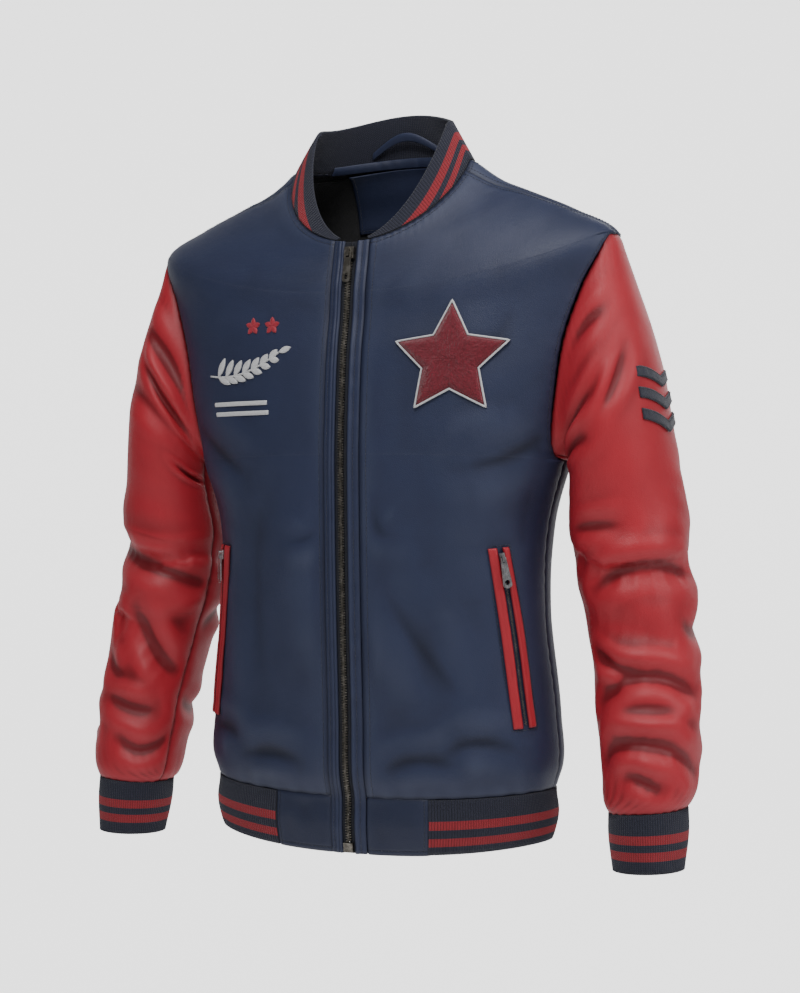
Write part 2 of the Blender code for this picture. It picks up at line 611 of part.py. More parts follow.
def sleeves(finishes, collection):
    back_seam = BACK_SLEEVE_SEAM - 2 * math.pi
    lead = back_seam + (FRONT_SLEEVE_SEAM - back_seam) * shares_across(19)
    under = FRONT_SLEEVE_SEAM + (BACK_SLEEVE_SEAM - FRONT_SLEEVE_SEAM) * shares_across(7)
    marks = np.concatenate([[0.0, 0.018], np.linspace(0.041, 0.525, 13), [SLEEVE_LENGTH - SEAM]])
    for side, folds in (("left", LEFT_FOLDS), ("right", RIGHT_FOLDS)):
        for name, angles in (("top", lead), ("under", under)):
            angles = angles.copy()
            angles[0] += SEAM / GIRTH_RADIUS
            angles[-1] -= SEAM / GIRTH_RADIUS
            grid = sleeve_grid(angles, marks, folds)
            if side == "right":
                grid = mirrored(grid)
            cloth(f"sleeve_{side}_{name}", grid, LEATHER, finishes["red_leather"], collection)
        around = np.linspace(0, 2 * math.pi, 24, endpoint=False)
        grid = cuff_grid(around, np.array([SEAM, 0.018, 0.040, 0.055]))
        if side == "right":
            grid = mirrored(grid)
        cloth("cuff_" + side, grid, RIB, finishes["rib_knit"], collection, closed=True)


def ribs(finishes, collection):
    start = turn_at(np.array(HEM_TAB_END + SEAM), np.array(-0.025))
    turns = np.linspace(start, 2 * math.pi - start, 35)
    levels = np.array([HEM_BOTTOM, -0.036, -0.018, -SEAM])
    grid = torso(*np.broadcast_arrays(turns[None, :], levels[:, None]))
    cloth("hem_rib", grid, RIB, finishes["rib_knit"], collection)
    first = turn_at(np.full(4, PLACKET_EDGE + SEAM), levels)
    turns = panel_turns(first, np.full(4, start - 0.003), 8)
    grid = torso(turns, np.broadcast_to(levels[:, None], turns.shape))
    cloth("hem_tab_left", grid, HEM_TAB_WALL, finishes["blue_leather"], collection)
    cloth("hem_tab_right", mirrored(grid), HEM_TAB_WALL, finishes["blue_leather"], collection)


def collar_pieces(finishes, collection):
    start = turn_at(np.array(PLACKET_EDGE), np.array(NECK_SEAM))
    turns = np.linspace(start, 2 * math.pi - start, 37)
    base, top = collar(turns, np.zeros_like(turns)), collar(turns, np.ones_like(turns))
    height = np.linalg.norm(top - base, axis=-1)
    more = (COLLAR_FOOT_FRONT - COLLAR_FOOT_BACK) * np.clip(np.cos(turns), 0, 1)
    foot = (COLLAR_FOOT_BACK + more) / height
    rises = foot[None, :] + (1 - foot[None, :]) * np.linspace(0, 1, 4)[:, None]
    grid = collar(np.broadcast_to(turns, rises.shape), rises)
    cloth("collar", grid, RIB, finishes["rib_knit"], collection)


def neck_inside(finishes, collection):
    """Binding over the neck seam, the facing under it and the hanger loop, at the middle back."""
    inner = RIB + 2 * LAID_ON
    turns = math.pi + np.linspace(-BINDING_REACH, BINDING_REACH, 15)
    rises = np.array(BINDING_RISES)
    place = np.broadcast_arrays(turns[None, :], rises[:, None])
    grid = raised(collar, place[0], place[1], -inner)
    cloth("neck_binding", grid, BINDING, finishes["blue_leather"], collection)
    levels = np.linspace(FACING_FOOT, FACING_TOP, 7)[:, None]
    across = np.linspace(1, -1, 7)[None, :]
    turns = math.pi - np.sign(across) * turn_at(np.abs(across) * FACING_HALF, levels)
    levels = np.broadcast_to(levels, turns.shape)
    depth = LEATHER + LINING_GAP + LINING + LAID_ON + 2 * FLATS
    grid = raised(torso, turns, levels, -depth)
    cloth("back_facing", grid, BINDING, finishes["blue_leather"], collection)
    ends = np.linspace(-1, 1, 11)
    bow = 1 - ends**2
    turns = math.pi + ends * LOOP_REACH
    rises = np.stack([end + more * bow for end, more in (LOOP_LOWER, LOOP_UPPER)])
    place = np.broadcast_arrays(turns[None, :], rises)
    grid = raised(collar, place[0], place[1], -(inner + LOOP_BOW * bow))
    cloth("hanger_loop", grid, BINDING, finishes["blue_leather"], collection)


def star_radius(angle, reach):
    """How far a five-pointed star reaches at an angle from its top point."""
    sector = math.pi / 5
    inner = STAR_NOTCH * reach
    away = abs((angle + sector) % (2 * sector) - sector)
    point = Vector((reach, 0.0))
    notch = Vector((inner * math.cos(sector), inner * math.sin(sector)))
    side = notch - point
    ray = Vector((math.cos(away), math.sin(away)))
    return (point.x * side.y - point.y * side.x) / (ray.x * side.y - ray.y * side.x)


def star(name, reach, out, wall, material, collection):
    """A star laid on the wearer's left chest: rings of points out from its middle."""
    angles = np.linspace(0, 2 * math.pi, 20, endpoint=False)
    edge = np.array([star_radius(angle, reach) for angle in angles])
    shares = np.array([1.0, 0.5])
    radius = shares[:, None] * edge[None, :]
    x = STAR_CENTRE[0] + radius * np.sin(angles)
    z = STAR_CENTRE[1] + radius * np.cos(angles)
    grid = front_point(x, z, out)
    middle = front_point(np.array(STAR_CENTRE[0]), np.array(STAR_CENTRE[1]), out)
    piece = cloth(name, grid, wall, material, collection, closed=True)
    shape = bmesh.new()
    shape.from_mesh(piece.data)
    hub = shape.verts.new(middle)
    shape.verts.ensure_lookup_table()
    ring = [shape.verts[len(angles) + i] for i in range(len(angles))]
    for i, vertex in enumerate(ring):
        shape.faces.new((vertex, ring[(i + 1) % len(ring)], hub))
    bmesh.ops.recalc_face_normals(shape, faces=shape.faces)
    if shape.faces[0].normal.y > 0:
        bmesh.ops.reverse_faces(shape, faces=shape.faces)
    shape.to_mesh(piece.data)
    shape.free()


def emblems(finishes, collection):
    felt_out = LAID_ON + FLATS + FELT
    star("star_felt", STAR_REACH + STAR_EDGE, felt_out, FELT, finishes["navy_felt"], collection)
    star("star_pile", STAR_REACH, felt_out + LAID_ON + PILE, PILE, finishes["burgundy_pile"],
         collection)
    angles = np.linspace(-CHEVRON_REACH, CHEVRON_REACH, 9)
    out = 2 * LAID_ON + PILE
    for number in range(3):
        point = CHEVRON_ALONG + number * CHEVRON_STEP
        middle = point - CHEVRON_RISE * np.abs(angles) / CHEVRON_REACH
        rows = []
        for edge in (-0.5, 0.5):
            spots = middle + edge * CHEVRON_WIDTH
            rows.append(np.array([sleeve_grid([angle], [spot], LEFT_FOLDS, out)[0, 0]
                                  for angle, spot in zip(angles, spots)]))
        cloth(f"sleeve_chevron_{number + 1}", np.stack(rows), PILE, finishes["navy_felt"],
              collection)


def main():
    for old in list(bpy.data.objects):
        bpy.data.objects.remove(old)
    collection = bpy.data.collections.new("varsity_jacket")
    cutters = bpy.data.collections.new("cutters")
    bpy.context.scene.collection.children.link(collection)
    bpy.context.scene.collection.children.link(cutters)
    finishes = {
        "blue_leather": finish_material("blue_leather", (0.030, 0.045, 0.090), 0.45),
        "red_leather": finish_material("red_leather", (0.330, 0.030, 0.035), 0.42),
        "rib_knit": finish_material("rib_knit", (0.016, 0.018, 0.034), 0.95),
        "lining": finish_material("lining", (0.010, 0.010, 0.012), 0.95),
        "zip_tape": finish_material("zip_tape", (0.015, 0.016, 0.024), 0.90),
        "gunmetal": finish_material("gunmetal", (0.100, 0.098, 0.095), 0.35, 1.0),
        "silver_metal": finish_material("silver_metal", (0.560, 0.560, 0.570), 0.30, 1.0),
        "navy_felt": finish_material("navy_felt", (0.018, 0.020, 0.040), 0.95),
        "burgundy_pile": finish_material("burgundy_pile", (0.200, 0.010, 0.025), 0.95),
    }
    body_panels(finishes, collection)
    plackets_and_tapes(finishes, collection)
    main_zip(finishes, collection, cutters)
    pockets(finishes, collection, cutters)
    sleeves(finishes, collection)
    ribs(finishes, collection)
    collar_pieces(finishes, collection)
    neck_inside(finishes, collection)
    emblems(finishes, collection)


main()
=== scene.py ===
"""The looks of a zip-front varsity jacket, filled out as if worn.

Metres, +Z up, the front faces -Y and the wearer's left is +X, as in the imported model. Every cloth
piece is a fine grid on the same forms as its solid: torso(turn, level) for the body, collar base
and hem band, and sleeve_grid(angles, marks) for the sleeves. Creases, seams and ribs are lifts
along the surface, so each piece stays where its solid is.
"""
import math

import bmesh
import bpy
import numpy as np
from mathutils import Matrix, Vector


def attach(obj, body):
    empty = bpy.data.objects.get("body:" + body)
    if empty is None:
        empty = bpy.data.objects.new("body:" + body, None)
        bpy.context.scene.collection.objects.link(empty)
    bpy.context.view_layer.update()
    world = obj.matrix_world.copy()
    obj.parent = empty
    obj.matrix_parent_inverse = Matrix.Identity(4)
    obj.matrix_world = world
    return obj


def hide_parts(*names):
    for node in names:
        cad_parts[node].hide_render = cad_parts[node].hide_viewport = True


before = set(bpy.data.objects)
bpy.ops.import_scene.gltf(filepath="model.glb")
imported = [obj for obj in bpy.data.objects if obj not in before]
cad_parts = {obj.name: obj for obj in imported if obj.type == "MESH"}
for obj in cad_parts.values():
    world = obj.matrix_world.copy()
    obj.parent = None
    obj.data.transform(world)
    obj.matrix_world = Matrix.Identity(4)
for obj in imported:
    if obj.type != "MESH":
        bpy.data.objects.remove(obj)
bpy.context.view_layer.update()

# Walls and gaps
LEATHER = 0.0018
RIB = 0.0030
LINING = 0.0010
TAPE = 0.0008
SEAM = 0.0004
LAID_ON = 0.0004
# A piece laid on a curved panel also clears the flats between the panel's own rows of points
FLATS = 0.0006

# The body: sizes all round at each level, which is the height along the side seam above the
# hem band's seam. half_width, front_depth and back_depth reach from the middle of each ring.
# squareness is 2 for an ellipse. ridge shapes how steeply the front falls from the shoulder.
BODY = (
    # level, z_front, z_side, z_back, half_width, y_middle, front_depth, back_depth,
    # squareness, ridge
    (-0.050, -0.6577, -0.6450, -0.6430, 0.1720, -0.0120, 0.0770, 0.0690, 2.30, 2.00),
    (-0.025, -0.6315, -0.6205, -0.6190, 0.1765, -0.0120, 0.0800, 0.0720, 2.30, 2.00),
    (0.000, -0.6045, -0.5960, -0.5950, 0.1755, -0.0120, 0.0800, 0.0720, 2.30, 2.00),
    (0.020, -0.5860, -0.5770, -0.5760, 0.1810, -0.0120, 0.0850, 0.0790, 2.30, 2.00),
    (0.070, -0.5330, -0.5270, -0.5260, 0.1790, -0.0120, 0.0870, 0.0810, 2.30, 2.00),
    (0.165, -0.4330, -0.4310, -0.4300, 0.1690, -0.0140, 0.0900, 0.0820, 2.30, 2.00),
    (0.250, -0.3440, -0.3460, -0.3440, 0.1725, -0.0140, 0.0930, 0.0930, 2.30, 2.00),
    (0.308, -0.2830, -0.2880, -0.2840, 0.1880, -0.0140, 0.0940, 0.1010, 2.30, 2.00),
    (0.370, -0.2330, -0.2300, -0.2220, 0.2030, -0.0120, 0.0940, 0.1030, 2.35, 2.00),
    (0.430, -0.1860, -0.1720, -0.1590, 0.2145, -0.0110, 0.0910, 0.0990, 2.35, 2.00),
    (0.480, -0.1520, -0.1250, -0.1090, 0.2275, -0.0110, 0.0850, 0.0910, 2.30, 2.00),
    (0.530, -0.1290, -0.0770, -0.0640, 0.2380, -0.0100, 0.0840, 0.0830, 2.25, 1.90),
    (0.575, -0.1130, -0.0535, -0.0360, 0.1980, -0.0120, 0.0790, 0.0810, 2.20, 1.70),
    (0.625, -0.0990, -0.0330, -0.0140, 0.1520, -0.0140, 0.0740, 0.0760, 2.10, 1.45),
    (0.670, -0.0890, -0.0180, 0.0020, 0.1190, -0.0160, 0.0705, 0.0730, 2.00, 1.20),
    (0.700, -0.0815, 0.0000, 0.0100, 0.0940, -0.0180, 0.0670, 0.0710, 2.00, 1.05),
)
HEM_BOTTOM, HEM_SEAM, ARMPIT, SHOULDER_TIP, NECK_SEAM = -0.050, 0.0, 0.308, 0.530, 0.700

# The armhole reaches this far round the body from the side seam, as an angle, at its widest
ARMHOLE_FRONT, ARMHOLE_BACK, ARMHOLE_ROUNDNESS = 0.40, 0.46, 0.60
# The sleeve's own points start this far off the armhole: low in front, and over the top
ARMHOLE_GAP_FRONT, ARMHOLE_GAP_TOP = 5 * SEAM, 0.75 * LEATHER
# The shoulder seam lies this far forward of the ridge at the neck
SHOULDER_SEAM_FORWARD = 0.16

# The left sleeve: each ring fans out from the armhole. outer and inner are the ends of its
# width, half_depth reaches to front and back from y_middle. along is measured down the outside.
SLEEVE = (
    # along, outer_x, outer_z, inner_x, inner_z, y_middle, half_depth
    (0.041, 0.2490, -0.1165, 0.1935, -0.2890, -0.004, 0.0600),
    (0.091, 0.2640, -0.1640, 0.1950, -0.2940, -0.002, 0.0670),
    (0.147, 0.2768, -0.2180, 0.1955, -0.3060, 0.000, 0.0700),
    (0.205, 0.2850, -0.2750, 0.1935, -0.3270, 0.004, 0.0695),
    (0.266, 0.2935, -0.3350, 0.1915, -0.3620, 0.010, 0.0650),
    (0.326, 0.3000, -0.3950, 0.1990, -0.4110, 0.011, 0.0600),
    (0.386, 0.3070, -0.4550, 0.2130, -0.4680, 0.004, 0.0560),
    (0.447, 0.3125, -0.5150, 0.2240, -0.5270, -0.009, 0.0530),
    (0.497, 0.3155, -0.5650, 0.2300, -0.5760, -0.018, 0.0500),
    (0.525, 0.3140, -0.5930, 0.2335, -0.6020, -0.024, 0.0465),
    (0.537, 0.3095, -0.6045, 0.2375, -0.6100, -0.0265, 0.0415),
)
SLEEVE_SQUARENESS = 2.15
SLEEVE_LENGTH = 0.537
GIRTH_RADIUS = 0.055
# Seams of the two-piece sleeve, as angles from the outside, forward over the front
FRONT_SLEEVE_SEAM, BACK_SLEEVE_SEAM = math.radians(165), math.radians(255)

# The largest folds of each sleeve, from end to end through a middle point. Height is outward.
# They fade in below the armhole and out above the cuff.
FOLDS_START, FOLDS_FADE_IN, FOLDS_FADE_OUT = 0.10, 0.06, 0.05
LEFT_FOLDS = (
    # angle, along | angle, along | angle, along | width, height
    (150, 0.235, 60, 0.300, -20, 0.215, 0.020, 0.0045),
    (165, 0.275, 60, 0.325, -30, 0.300, 0.014, -0.0055),
    (160, 0.420, 60, 0.482, -30, 0.410, 0.020, 0.0045),
    (160, 0.345, 70, 0.372, 10, 0.400, 0.014, -0.0045),
)
RIGHT_FOLDS = (
    (-10, 0.250, 60, 0.262, 150, 0.250, 0.020, 0.0045),
    (0, 0.275, 70, 0.300, 160, 0.285, 0.014, -0.0055),
    (150, 0.300, 80, 0.345, 10, 0.400, 0.020, 0.0045),
    (20, 0.330, 70, 0.380, 150, 0.440, 0.014, -0.0045),
)

# The collar band stands on the neck seam and leans in to this top edge
COLLAR_TOP = {"half_width": 0.0700, "y_middle": -0.0180, "front": 0.0640, "back": 0.0650}
COLLAR_TOP_Z = {"front": -0.0790, "side": 0.0400, "back": 0.0590, "ridge": 1.15}
# Its foot clears the neck seam, and by more in front where the corner is convex
COLLAR_FOOT_BACK, COLLAR_FOOT_FRONT = 0.0006, 0.0022

# The cuffs: rings from the seam down
CUFF = (
    # down, x_middle, y_middle, z_outer, z_inner, half_width, half_depth
    (0.000, 0.2735, -0.0265, -0.6045, -0.6100, 0.0360, 0.0415),
    (0.018, 0.2742, -0.0280, -0.6230, -0.6270, 0.0365, 0.0405),
    (0.055, 0.2755, -0.0320, -0.6600, -0.6620, 0.0325, 0.0355),
)

# Front opening, measured sideways from the middle
CHAIN_HALF, TAPE_HALF, PLACKET_EDGE = 0.0029, 0.0056, 0.0185
# How far each stands out from the body's form, and its wall
PLACKET_OUT, PLACKET_WALL = 0.0006, 0.0022
TAPE_OUT = -0.0010
CHAIN_OUT, CHAIN_WALL = 0.0012, 0.0026
HEM_TAB_END, HEM_TAB_WALL = 0.0800, 0.0026
ZIP_TOP, ZIP_BOTTOM = -0.0870, -0.6570
# The chain stops short of the end box and of the slider
CHAIN_ABOVE_FOOT, CHAIN_BELOW_TOP = 0.0105, 0.0125

# Slanted pockets on both fronts, given on the wearer's left
POCKET_TOP, POCKET_BOTTOM = Vector((0.1440, -0.3690)), Vector((0.1640, -0.5360))
WELT_FRONT, WELT_BACK, POCKET_ZIP_WIDTH = 0.0078, 0.0052, 0.0028
WELT_OUT, WELT_WALL = FLATS + 0.0024, 0.0020
POCKET_ZIP_OUT, POCKET_ZIP_WALL = FLATS + 0.0016, 0.0012

# Inside the back of the neck
BINDING, LINING_GAP = 0.0012, 0.0012
BINDING_REACH, BINDING_RISES = 0.95, (0.03, 0.08, 0.13)
FACING_HALF, FACING_FOOT, FACING_TOP = 0.064, 0.545, 0.694
LINING_DEPTH = 0.12
# The loop's lower and upper edges up the collar, at its ends and how much more in its middle
LOOP_REACH, LOOP_BOW = 0.46, 0.0080
LOOP_LOWER, LOOP_UPPER = (0.18, 0.30), (0.32, 0.32)

# Applied emblems
STAR_CENTRE, STAR_REACH, STAR_EDGE, STAR_NOTCH = (0.1060, -0.1960), 0.0500, 0.0060, 0.50
CHEVRON_ALONG, CHEVRON_STEP, CHEVRON_REACH, CHEVRON_RISE = 0.146, 0.021, 0.62, 0.017
CHEVRON_WIDTH = 0.0110
FELT, PILE = 0.0012, 0.0016

# Rib knit: a rib's width and height, a row of stitches, and how deep a band is
RIB_PITCH, RIB_COLUMNS, RIB_HEIGHT, STITCH_ROW = 0.0023, 4, 0.0007, 0.0017
BAND_DEPTH = 0.055
COLLAR_ROUNDING = 400
KNIT_NAVY, KNIT_RED = (0.017, 0.019, 0.038, 1.0), (0.330, 0.020, 0.030, 1.0)
MAIN_TOOTH_PITCH = 0.00125
# Cloth that goes on under its neighbours, past the first and last columns and rows
ALLOWANCE_DEPTH = 0.0014
BODY_ALLOWANCE, SLEEVE_ALLOWANCE = (0.0018, 0.0018, 0.0018, 0.0018), (0.0012, 0.0012, 0.0032, 0.0030)
TAB_ALLOWANCE, TAPE_UNDER = (0.0012, 0.0024, 0.0010, 0.0014), 0.0030
# Painted shade over the whole hem tabs, as the light falls off towards the hem
TAB_PAINTED_SHADE = 0.75
# How much of the paper's glow falls on the jacket
PAPER_SPILL = 0.22
ROOM_GLOW = 2.2
# Embroidery on the wearer's right chest
SPRIG_CENTRE = (-0.1120, -0.1990)

# The camera, level, a quarter of the way round to the wearer's left
CAMERA_TURN, CAMERA_DISTANCE, CAMERA_ASIDE = math.radians(25), 2.05, 0.0098
CAMERA_HEIGHT, CAMERA_LENS = -0.322, 75.84
FLOOR = -1.45
PAPER, PAPER_GLOW = (0.80, 0.80, 0.80, 1.0), 2.45
WORLD_COLOUR, WORLD_STRENGTH = (0.78, 0.78, 0.80, 1.0), 0.18
# Turn from the camera in degrees, distance, height, width and height of the box, power
SOFT_BOXES = {
    "key": (-6, 1.9, 1.40, (0.9, 0.9), 30.0),
    "fill": (60, 2.1, 0.75, (0.9, 1.2), 19.0),
    "top": (6, 0.9, 1.75, (1.7, 1.1), 19.0),
    "rim": (150, 2.0, 0.60, (0.9, 1.6), 9.0),
}


# ---------------------------------------------------------------- forms

def along(rows, mark):
    """Every column of a table, read on a smooth curve at a mark or an array of marks."""
    rows = np.asarray(rows, float)
    marks = rows[:, 0]
    slope = np.gradient(rows, marks, axis=0)
    mark = np.asarray(mark, float)
    row = np.clip(np.searchsorted(marks, mark, side="right") - 1, 0, len(marks) - 2)
    span = (marks[row + 1] - marks[row])[..., None]
    u = (mark - marks[row])[..., None] / span
    start, end = rows[row], rows[row + 1]
    curve = start * (2 * u**3 - 3 * u**2 + 1) + end * (3 * u**2 - 2 * u**3)
    curve += span * (slope[row] * (u**3 - 2 * u**2 + u) + slope[row + 1] * (u**3 - u**2))
    return np.moveaxis(curve, -1, 0)


def torso(turn, level):
    """A point on the body: turn 0 is the middle front, a quarter turn the wearer's left side."""
    (_, z_front, z_side, z_back, half_width, y_middle,
     front, back, squareness, ridge) = along(BODY, level)
    cosine, sine = np.cos(turn), np.sin(turn)
    x = half_width * np.sign(sine) * np.abs(sine) ** (2 / squareness)
    depth = np.where(cosine > 0, front, back)
    y = y_middle - depth * np.sign(cosine) * np.abs(cosine) ** (2 / squareness)
    far_z = np.where(cosine > 0, z_front, z_back)
    fall = np.abs(cosine) ** np.where(cosine > 0, ridge, 2)
    return np.stack([x, y, z_side + (far_z - z_side) * fall], -1)


def turn_at(x, level):
    """The turn at which the front of the body is x from the middle."""
    rings = along(BODY, level)
    return np.arcsin(np.clip(x / rings[4], -1, 1) ** (rings[8] / 2))


def on_front(x, z):
    """The turn and level of a place on the wearer's left front, from its x and z."""
    level = np.interp(z, [row[1] for row in BODY], [row[0] for row in BODY])
    for _ in range(12):
        turn = turn_at(x, level)
        error = z - torso(turn, level)[..., 2]
        level = np.clip(level + error, HEM_BOTTOM, NECK_SEAM)
    return turn_at(x, level), level


def raised(form, first, second, out):
    """Points of a form moved out along its surface by out."""
    step = 1e-4
    points = form(first, second)
    across = form(first + step, second) - form(first - step, second)
    up = form(first, second + step) - form(first, second - step)
    normal = np.cross(across, up)
    normal /= np.maximum(np.linalg.norm(normal, axis=-1, keepdims=True), 1e-12)
    return points + normal * np.asarray(out)[..., None]


def front_point(x, z, out=0.0):
    """A point on or above the wearer's left front, from its x and z."""
    turn, level = on_front(np.asarray(x, float), np.asarray(z, float))
    return raised(torso, turn, level, out)


def armhole(angle):
    """Turn and level of the left armhole's edge: 0 is the shoulder tip, a quarter the front."""
    sine = np.sin(angle)
    reach = np.where(sine > 0, ARMHOLE_FRONT, ARMHOLE_BACK)
    turn = math.pi / 2 - reach * np.sign(sine) * np.abs(sine) ** ARMHOLE_ROUNDNESS
    middle, half = (ARMPIT + SHOULDER_TIP) / 2, (SHOULDER_TIP - ARMPIT) / 2
    return turn, middle + half * np.cos(angle)


def sleeve_columns(angle):
    """Lines down the left sleeve at the given angles, one point for each ring."""
    rings = np.asarray(SLEEVE)
    cosine, sine = np.cos(angle), np.sin(angle)
    power = 2 / SLEEVE_SQUARENESS
    wide = (np.sign(cosine) * np.abs(cosine) ** power)[None, :]
    deep = (np.sign(sine) * np.abs(sine) ** power)[None, :]
    outer, inner = rings[:, None, 1:3], rings[:, None, 3:5]
    middle, half = (outer + inner) / 2, (outer - inner) / 2
    y = rings[:, None, 5] - rings[:, None, 6] * deep
    flat = middle + half * wide[..., None]
    points = np.stack([flat[..., 0], y, flat[..., 1]], -1)
    # A convex corner runs over the top and down the front, so the sleeve starts further out there
    start = torso(*armhole(angle))
    away = points[0] - start
    away /= np.linalg.norm(away, axis=-1, keepdims=True)
    gap = 2 * SEAM + (ARMHOLE_GAP_FRONT - 2 * SEAM) * np.clip(sine, 0, 1)
    gap += ARMHOLE_GAP_TOP * np.clip(cosine + 0.35, 0, 1)
    start = start + away * gap[:, None]
    return np.concatenate([start[None], points])


def fold_height(angle, reach, folds):
    """How far the folds lift the sleeve at each angle and distance along it."""
    lift = np.zeros(np.broadcast(angle, reach).shape)
    for a0, s0, a1, s1, a2, s2, width, height in folds:
        for u in np.linspace(0, 1, 13):
            share = np.array([(1 - u) ** 2, 2 * u * (1 - u), u**2])
            at_angle = math.radians(share @ (a0, 2 * a1 - (a0 + a2) / 2, a2))
            at_along = share @ (s0, 2 * s1 - (s0 + s2) / 2, s2)
            turned = (angle - at_angle + math.pi) % (2 * math.pi) - math.pi
            away = np.hypot(turned * GIRTH_RADIUS, reach - at_along) / width
            bump = height * math.sin(math.pi * (0.08 + 0.84 * u)) * np.exp(-away**2)
            lift = np.where(np.abs(bump) > np.abs(lift), bump, lift)
    return lift


def sleeve_grid(angles, marks, folds, out=0.0):
    """A grid of points on the left sleeve: a row for each mark, a column for each angle."""
    angles, marks = np.asarray(angles, float), np.asarray(marks, float)
    columns = sleeve_columns(angles)
    stations = np.concatenate([[0.0], np.asarray(SLEEVE)[:, 0]])
    table = np.concatenate([stations[:, None], columns.reshape(len(stations), -1)], 1)
    points = along(table, marks)[1:].T.reshape(len(marks), len(angles), 3)
    around = np.linspace(0, 2 * math.pi, 32, endpoint=False)
    whole = sleeve_columns(around)
    table = np.concatenate([stations[:, None], whole.mean(1)], 1)
    middle = along(table, marks)[1:].T[:, None, :]
    outward = points - middle
    outward /= np.linalg.norm(outward, axis=-1, keepdims=True)
    lift = fold_height(angles[None, :], marks[:, None], folds)
    lift = lift * np.clip((marks[:, None] - FOLDS_START) / FOLDS_FADE_IN, 0, 1)
    lift = lift * np.clip((SLEEVE_LENGTH - marks[:, None]) / FOLDS_FADE_OUT, 0, 1)
    return points + outward * (lift + out)[..., None]


def collar(turn, rise):
    """A point on the collar band: rise 0 is the neck seam and 1 the top edge."""
    base = torso(turn, np.full_like(turn, NECK_SEAM))
    cosine, sine = np.cos(turn), np.sin(turn)
    depth = np.where(cosine > 0, COLLAR_TOP["front"], COLLAR_TOP["back"])
    x = COLLAR_TOP["half_width"] * sine
    y = COLLAR_TOP["y_middle"] - depth * cosine
    far_z = np.where(cosine > 0, COLLAR_TOP_Z["front"], COLLAR_TOP_Z["back"])
    fall = np.abs(cosine) ** np.where(cosine > 0, COLLAR_TOP_Z["ridge"], 2)
    z = COLLAR_TOP_Z["side"] + (far_z - COLLAR_TOP_Z["side"]) * fall
    top = np.stack([x, y, z], -1)
    return base + (top - base) * np.asarray(rise)[..., None]


def cuff_grid(angles, drops):
    """A grid of points on the left cuff."""
    _, x, y, outer, inner, half_width, half_depth = along(CUFF, drops)[..., None]
    cosine = np.cos(angles)[None, :]
    z = (outer + inner) / 2 + (outer - inner) / 2 * cosine
    return np.stack([x + half_width * cosine, y - half_depth * np.sin(angles)[None, :], z], -1)


def mirrored(grid):
    """The same piece on the wearer's right."""
    return grid[:, ::-1] * np.array([-1.0, 1.0, 1.0])

# ---------------------------------------------------------------- creases

# Creases are curves through three places, as across, down for each. Heights are outward, so a
# trough is negative. On the sleeves across is an angle in degrees and down is along the sleeve.
LEFT_CREASES = (
    # across, down | across, down | across, down | width, height
    (52, 0.047, 68, 0.028, 84, 0.012, 0.007, -0.0022),
    (42, 0.100, 58, 0.120, 76, 0.132, 0.008, -0.0030),
    (88, 0.096, 116, 0.070, 146, 0.034, 0.009, -0.0034),
    (98, 0.150, 122, 0.118, 158, 0.085, 0.010, -0.0026),
    (112, 0.326, 60, 0.312, -18, 0.330, 0.008, -0.0032),
    (128, 0.258, 104, 0.262, 78, 0.270, 0.008, -0.0024),
    (130, 0.385, 108, 0.397, 84, 0.404, 0.006, -0.0044),
    (124, 0.429, 72, 0.411, 6, 0.434, 0.008, -0.0052),
    (116, 0.437, 68, 0.459, 8, 0.437, 0.011, 0.0040),
    (128, 0.482, 78, 0.470, -2, 0.504, 0.008, -0.0046),
    (92, 0.498, 75, 0.507, 58, 0.515, 0.006, -0.0024),
    (20, 0.365, -10, 0.378, -45, 0.362, 0.011, -0.0034),
    (-20, 0.455, -52, 0.468, -88, 0.440, 0.009, -0.0046),
    (-15, 0.300, -50, 0.318, -95, 0.292, 0.010, -0.0042),
    (-35, 0.232, -60, 0.252, -98, 0.228, 0.012, -0.0034),
    (-50, 0.120, -70, 0.095, -95, 0.060, 0.010, -0.0030),
    (170, 0.300, 205, 0.318, 250, 0.305, 0.009, -0.0040),
    (172, 0.360, 212, 0.345, 248, 0.372, 0.008, -0.0038),
    (168, 0.438, 205, 0.452, 250, 0.430, 0.008, -0.0036),
    (180, 0.200, 205, 0.222, 240, 0.205, 0.009, -0.0026),
)
RIGHT_CREASES = (
    (50, 0.056, 78, 0.030, 106, 0.004, 0.008, -0.0034),
    (70, 0.060, 100, 0.036, 130, 0.010, 0.009, 0.0026),
    (68, 0.077, 98, 0.056, 130, 0.030, 0.007, -0.0030),
    (40, 0.125, 70, 0.112, 104, 0.086, 0.012, -0.0020),
    (134, 0.148, 148, 0.156, 164, 0.161, 0.006, -0.0034),
    (60, 0.284, 108, 0.286, 152, 0.268, 0.013, 0.0034),
    (30, 0.304, 98, 0.314, 160, 0.327, 0.009, -0.0042),
    (88, 0.352, 128, 0.352, 165, 0.338, 0.012, 0.0036),
    (88, 0.362, 116, 0.396, 152, 0.419, 0.009, -0.0052),
    (68, 0.449, 100, 0.459, 132, 0.459, 0.008, -0.0042),
    (96, 0.492, 126, 0.500, 160, 0.486, 0.007, -0.0034),
    (50, 0.410, 66, 0.424, 90, 0.430, 0.008, -0.0028),
    (40, 0.486, 20, 0.478, -10, 0.492, 0.008, -0.0038),
    (10, 0.342, -20, 0.352, -70, 0.330, 0.010, -0.0040),
    (0, 0.412, -40, 0.430, -90, 0.414, 0.009, -0.0046),
    (-20, 0.270, -60, 0.284, -98, 0.262, 0.010, -0.0036),
    (-50, 0.110, -72, 0.090, -95, 0.052, 0.010, -0.0028),
    (170, 0.292, 208, 0.306, 250, 0.290, 0.009, -0.0040),
    (172, 0.372, 212, 0.356, 248, 0.376, 0.008, -0.0038),
    (168, 0.446, 205, 0.460, 250, 0.440, 0.008, -0.0034),
)
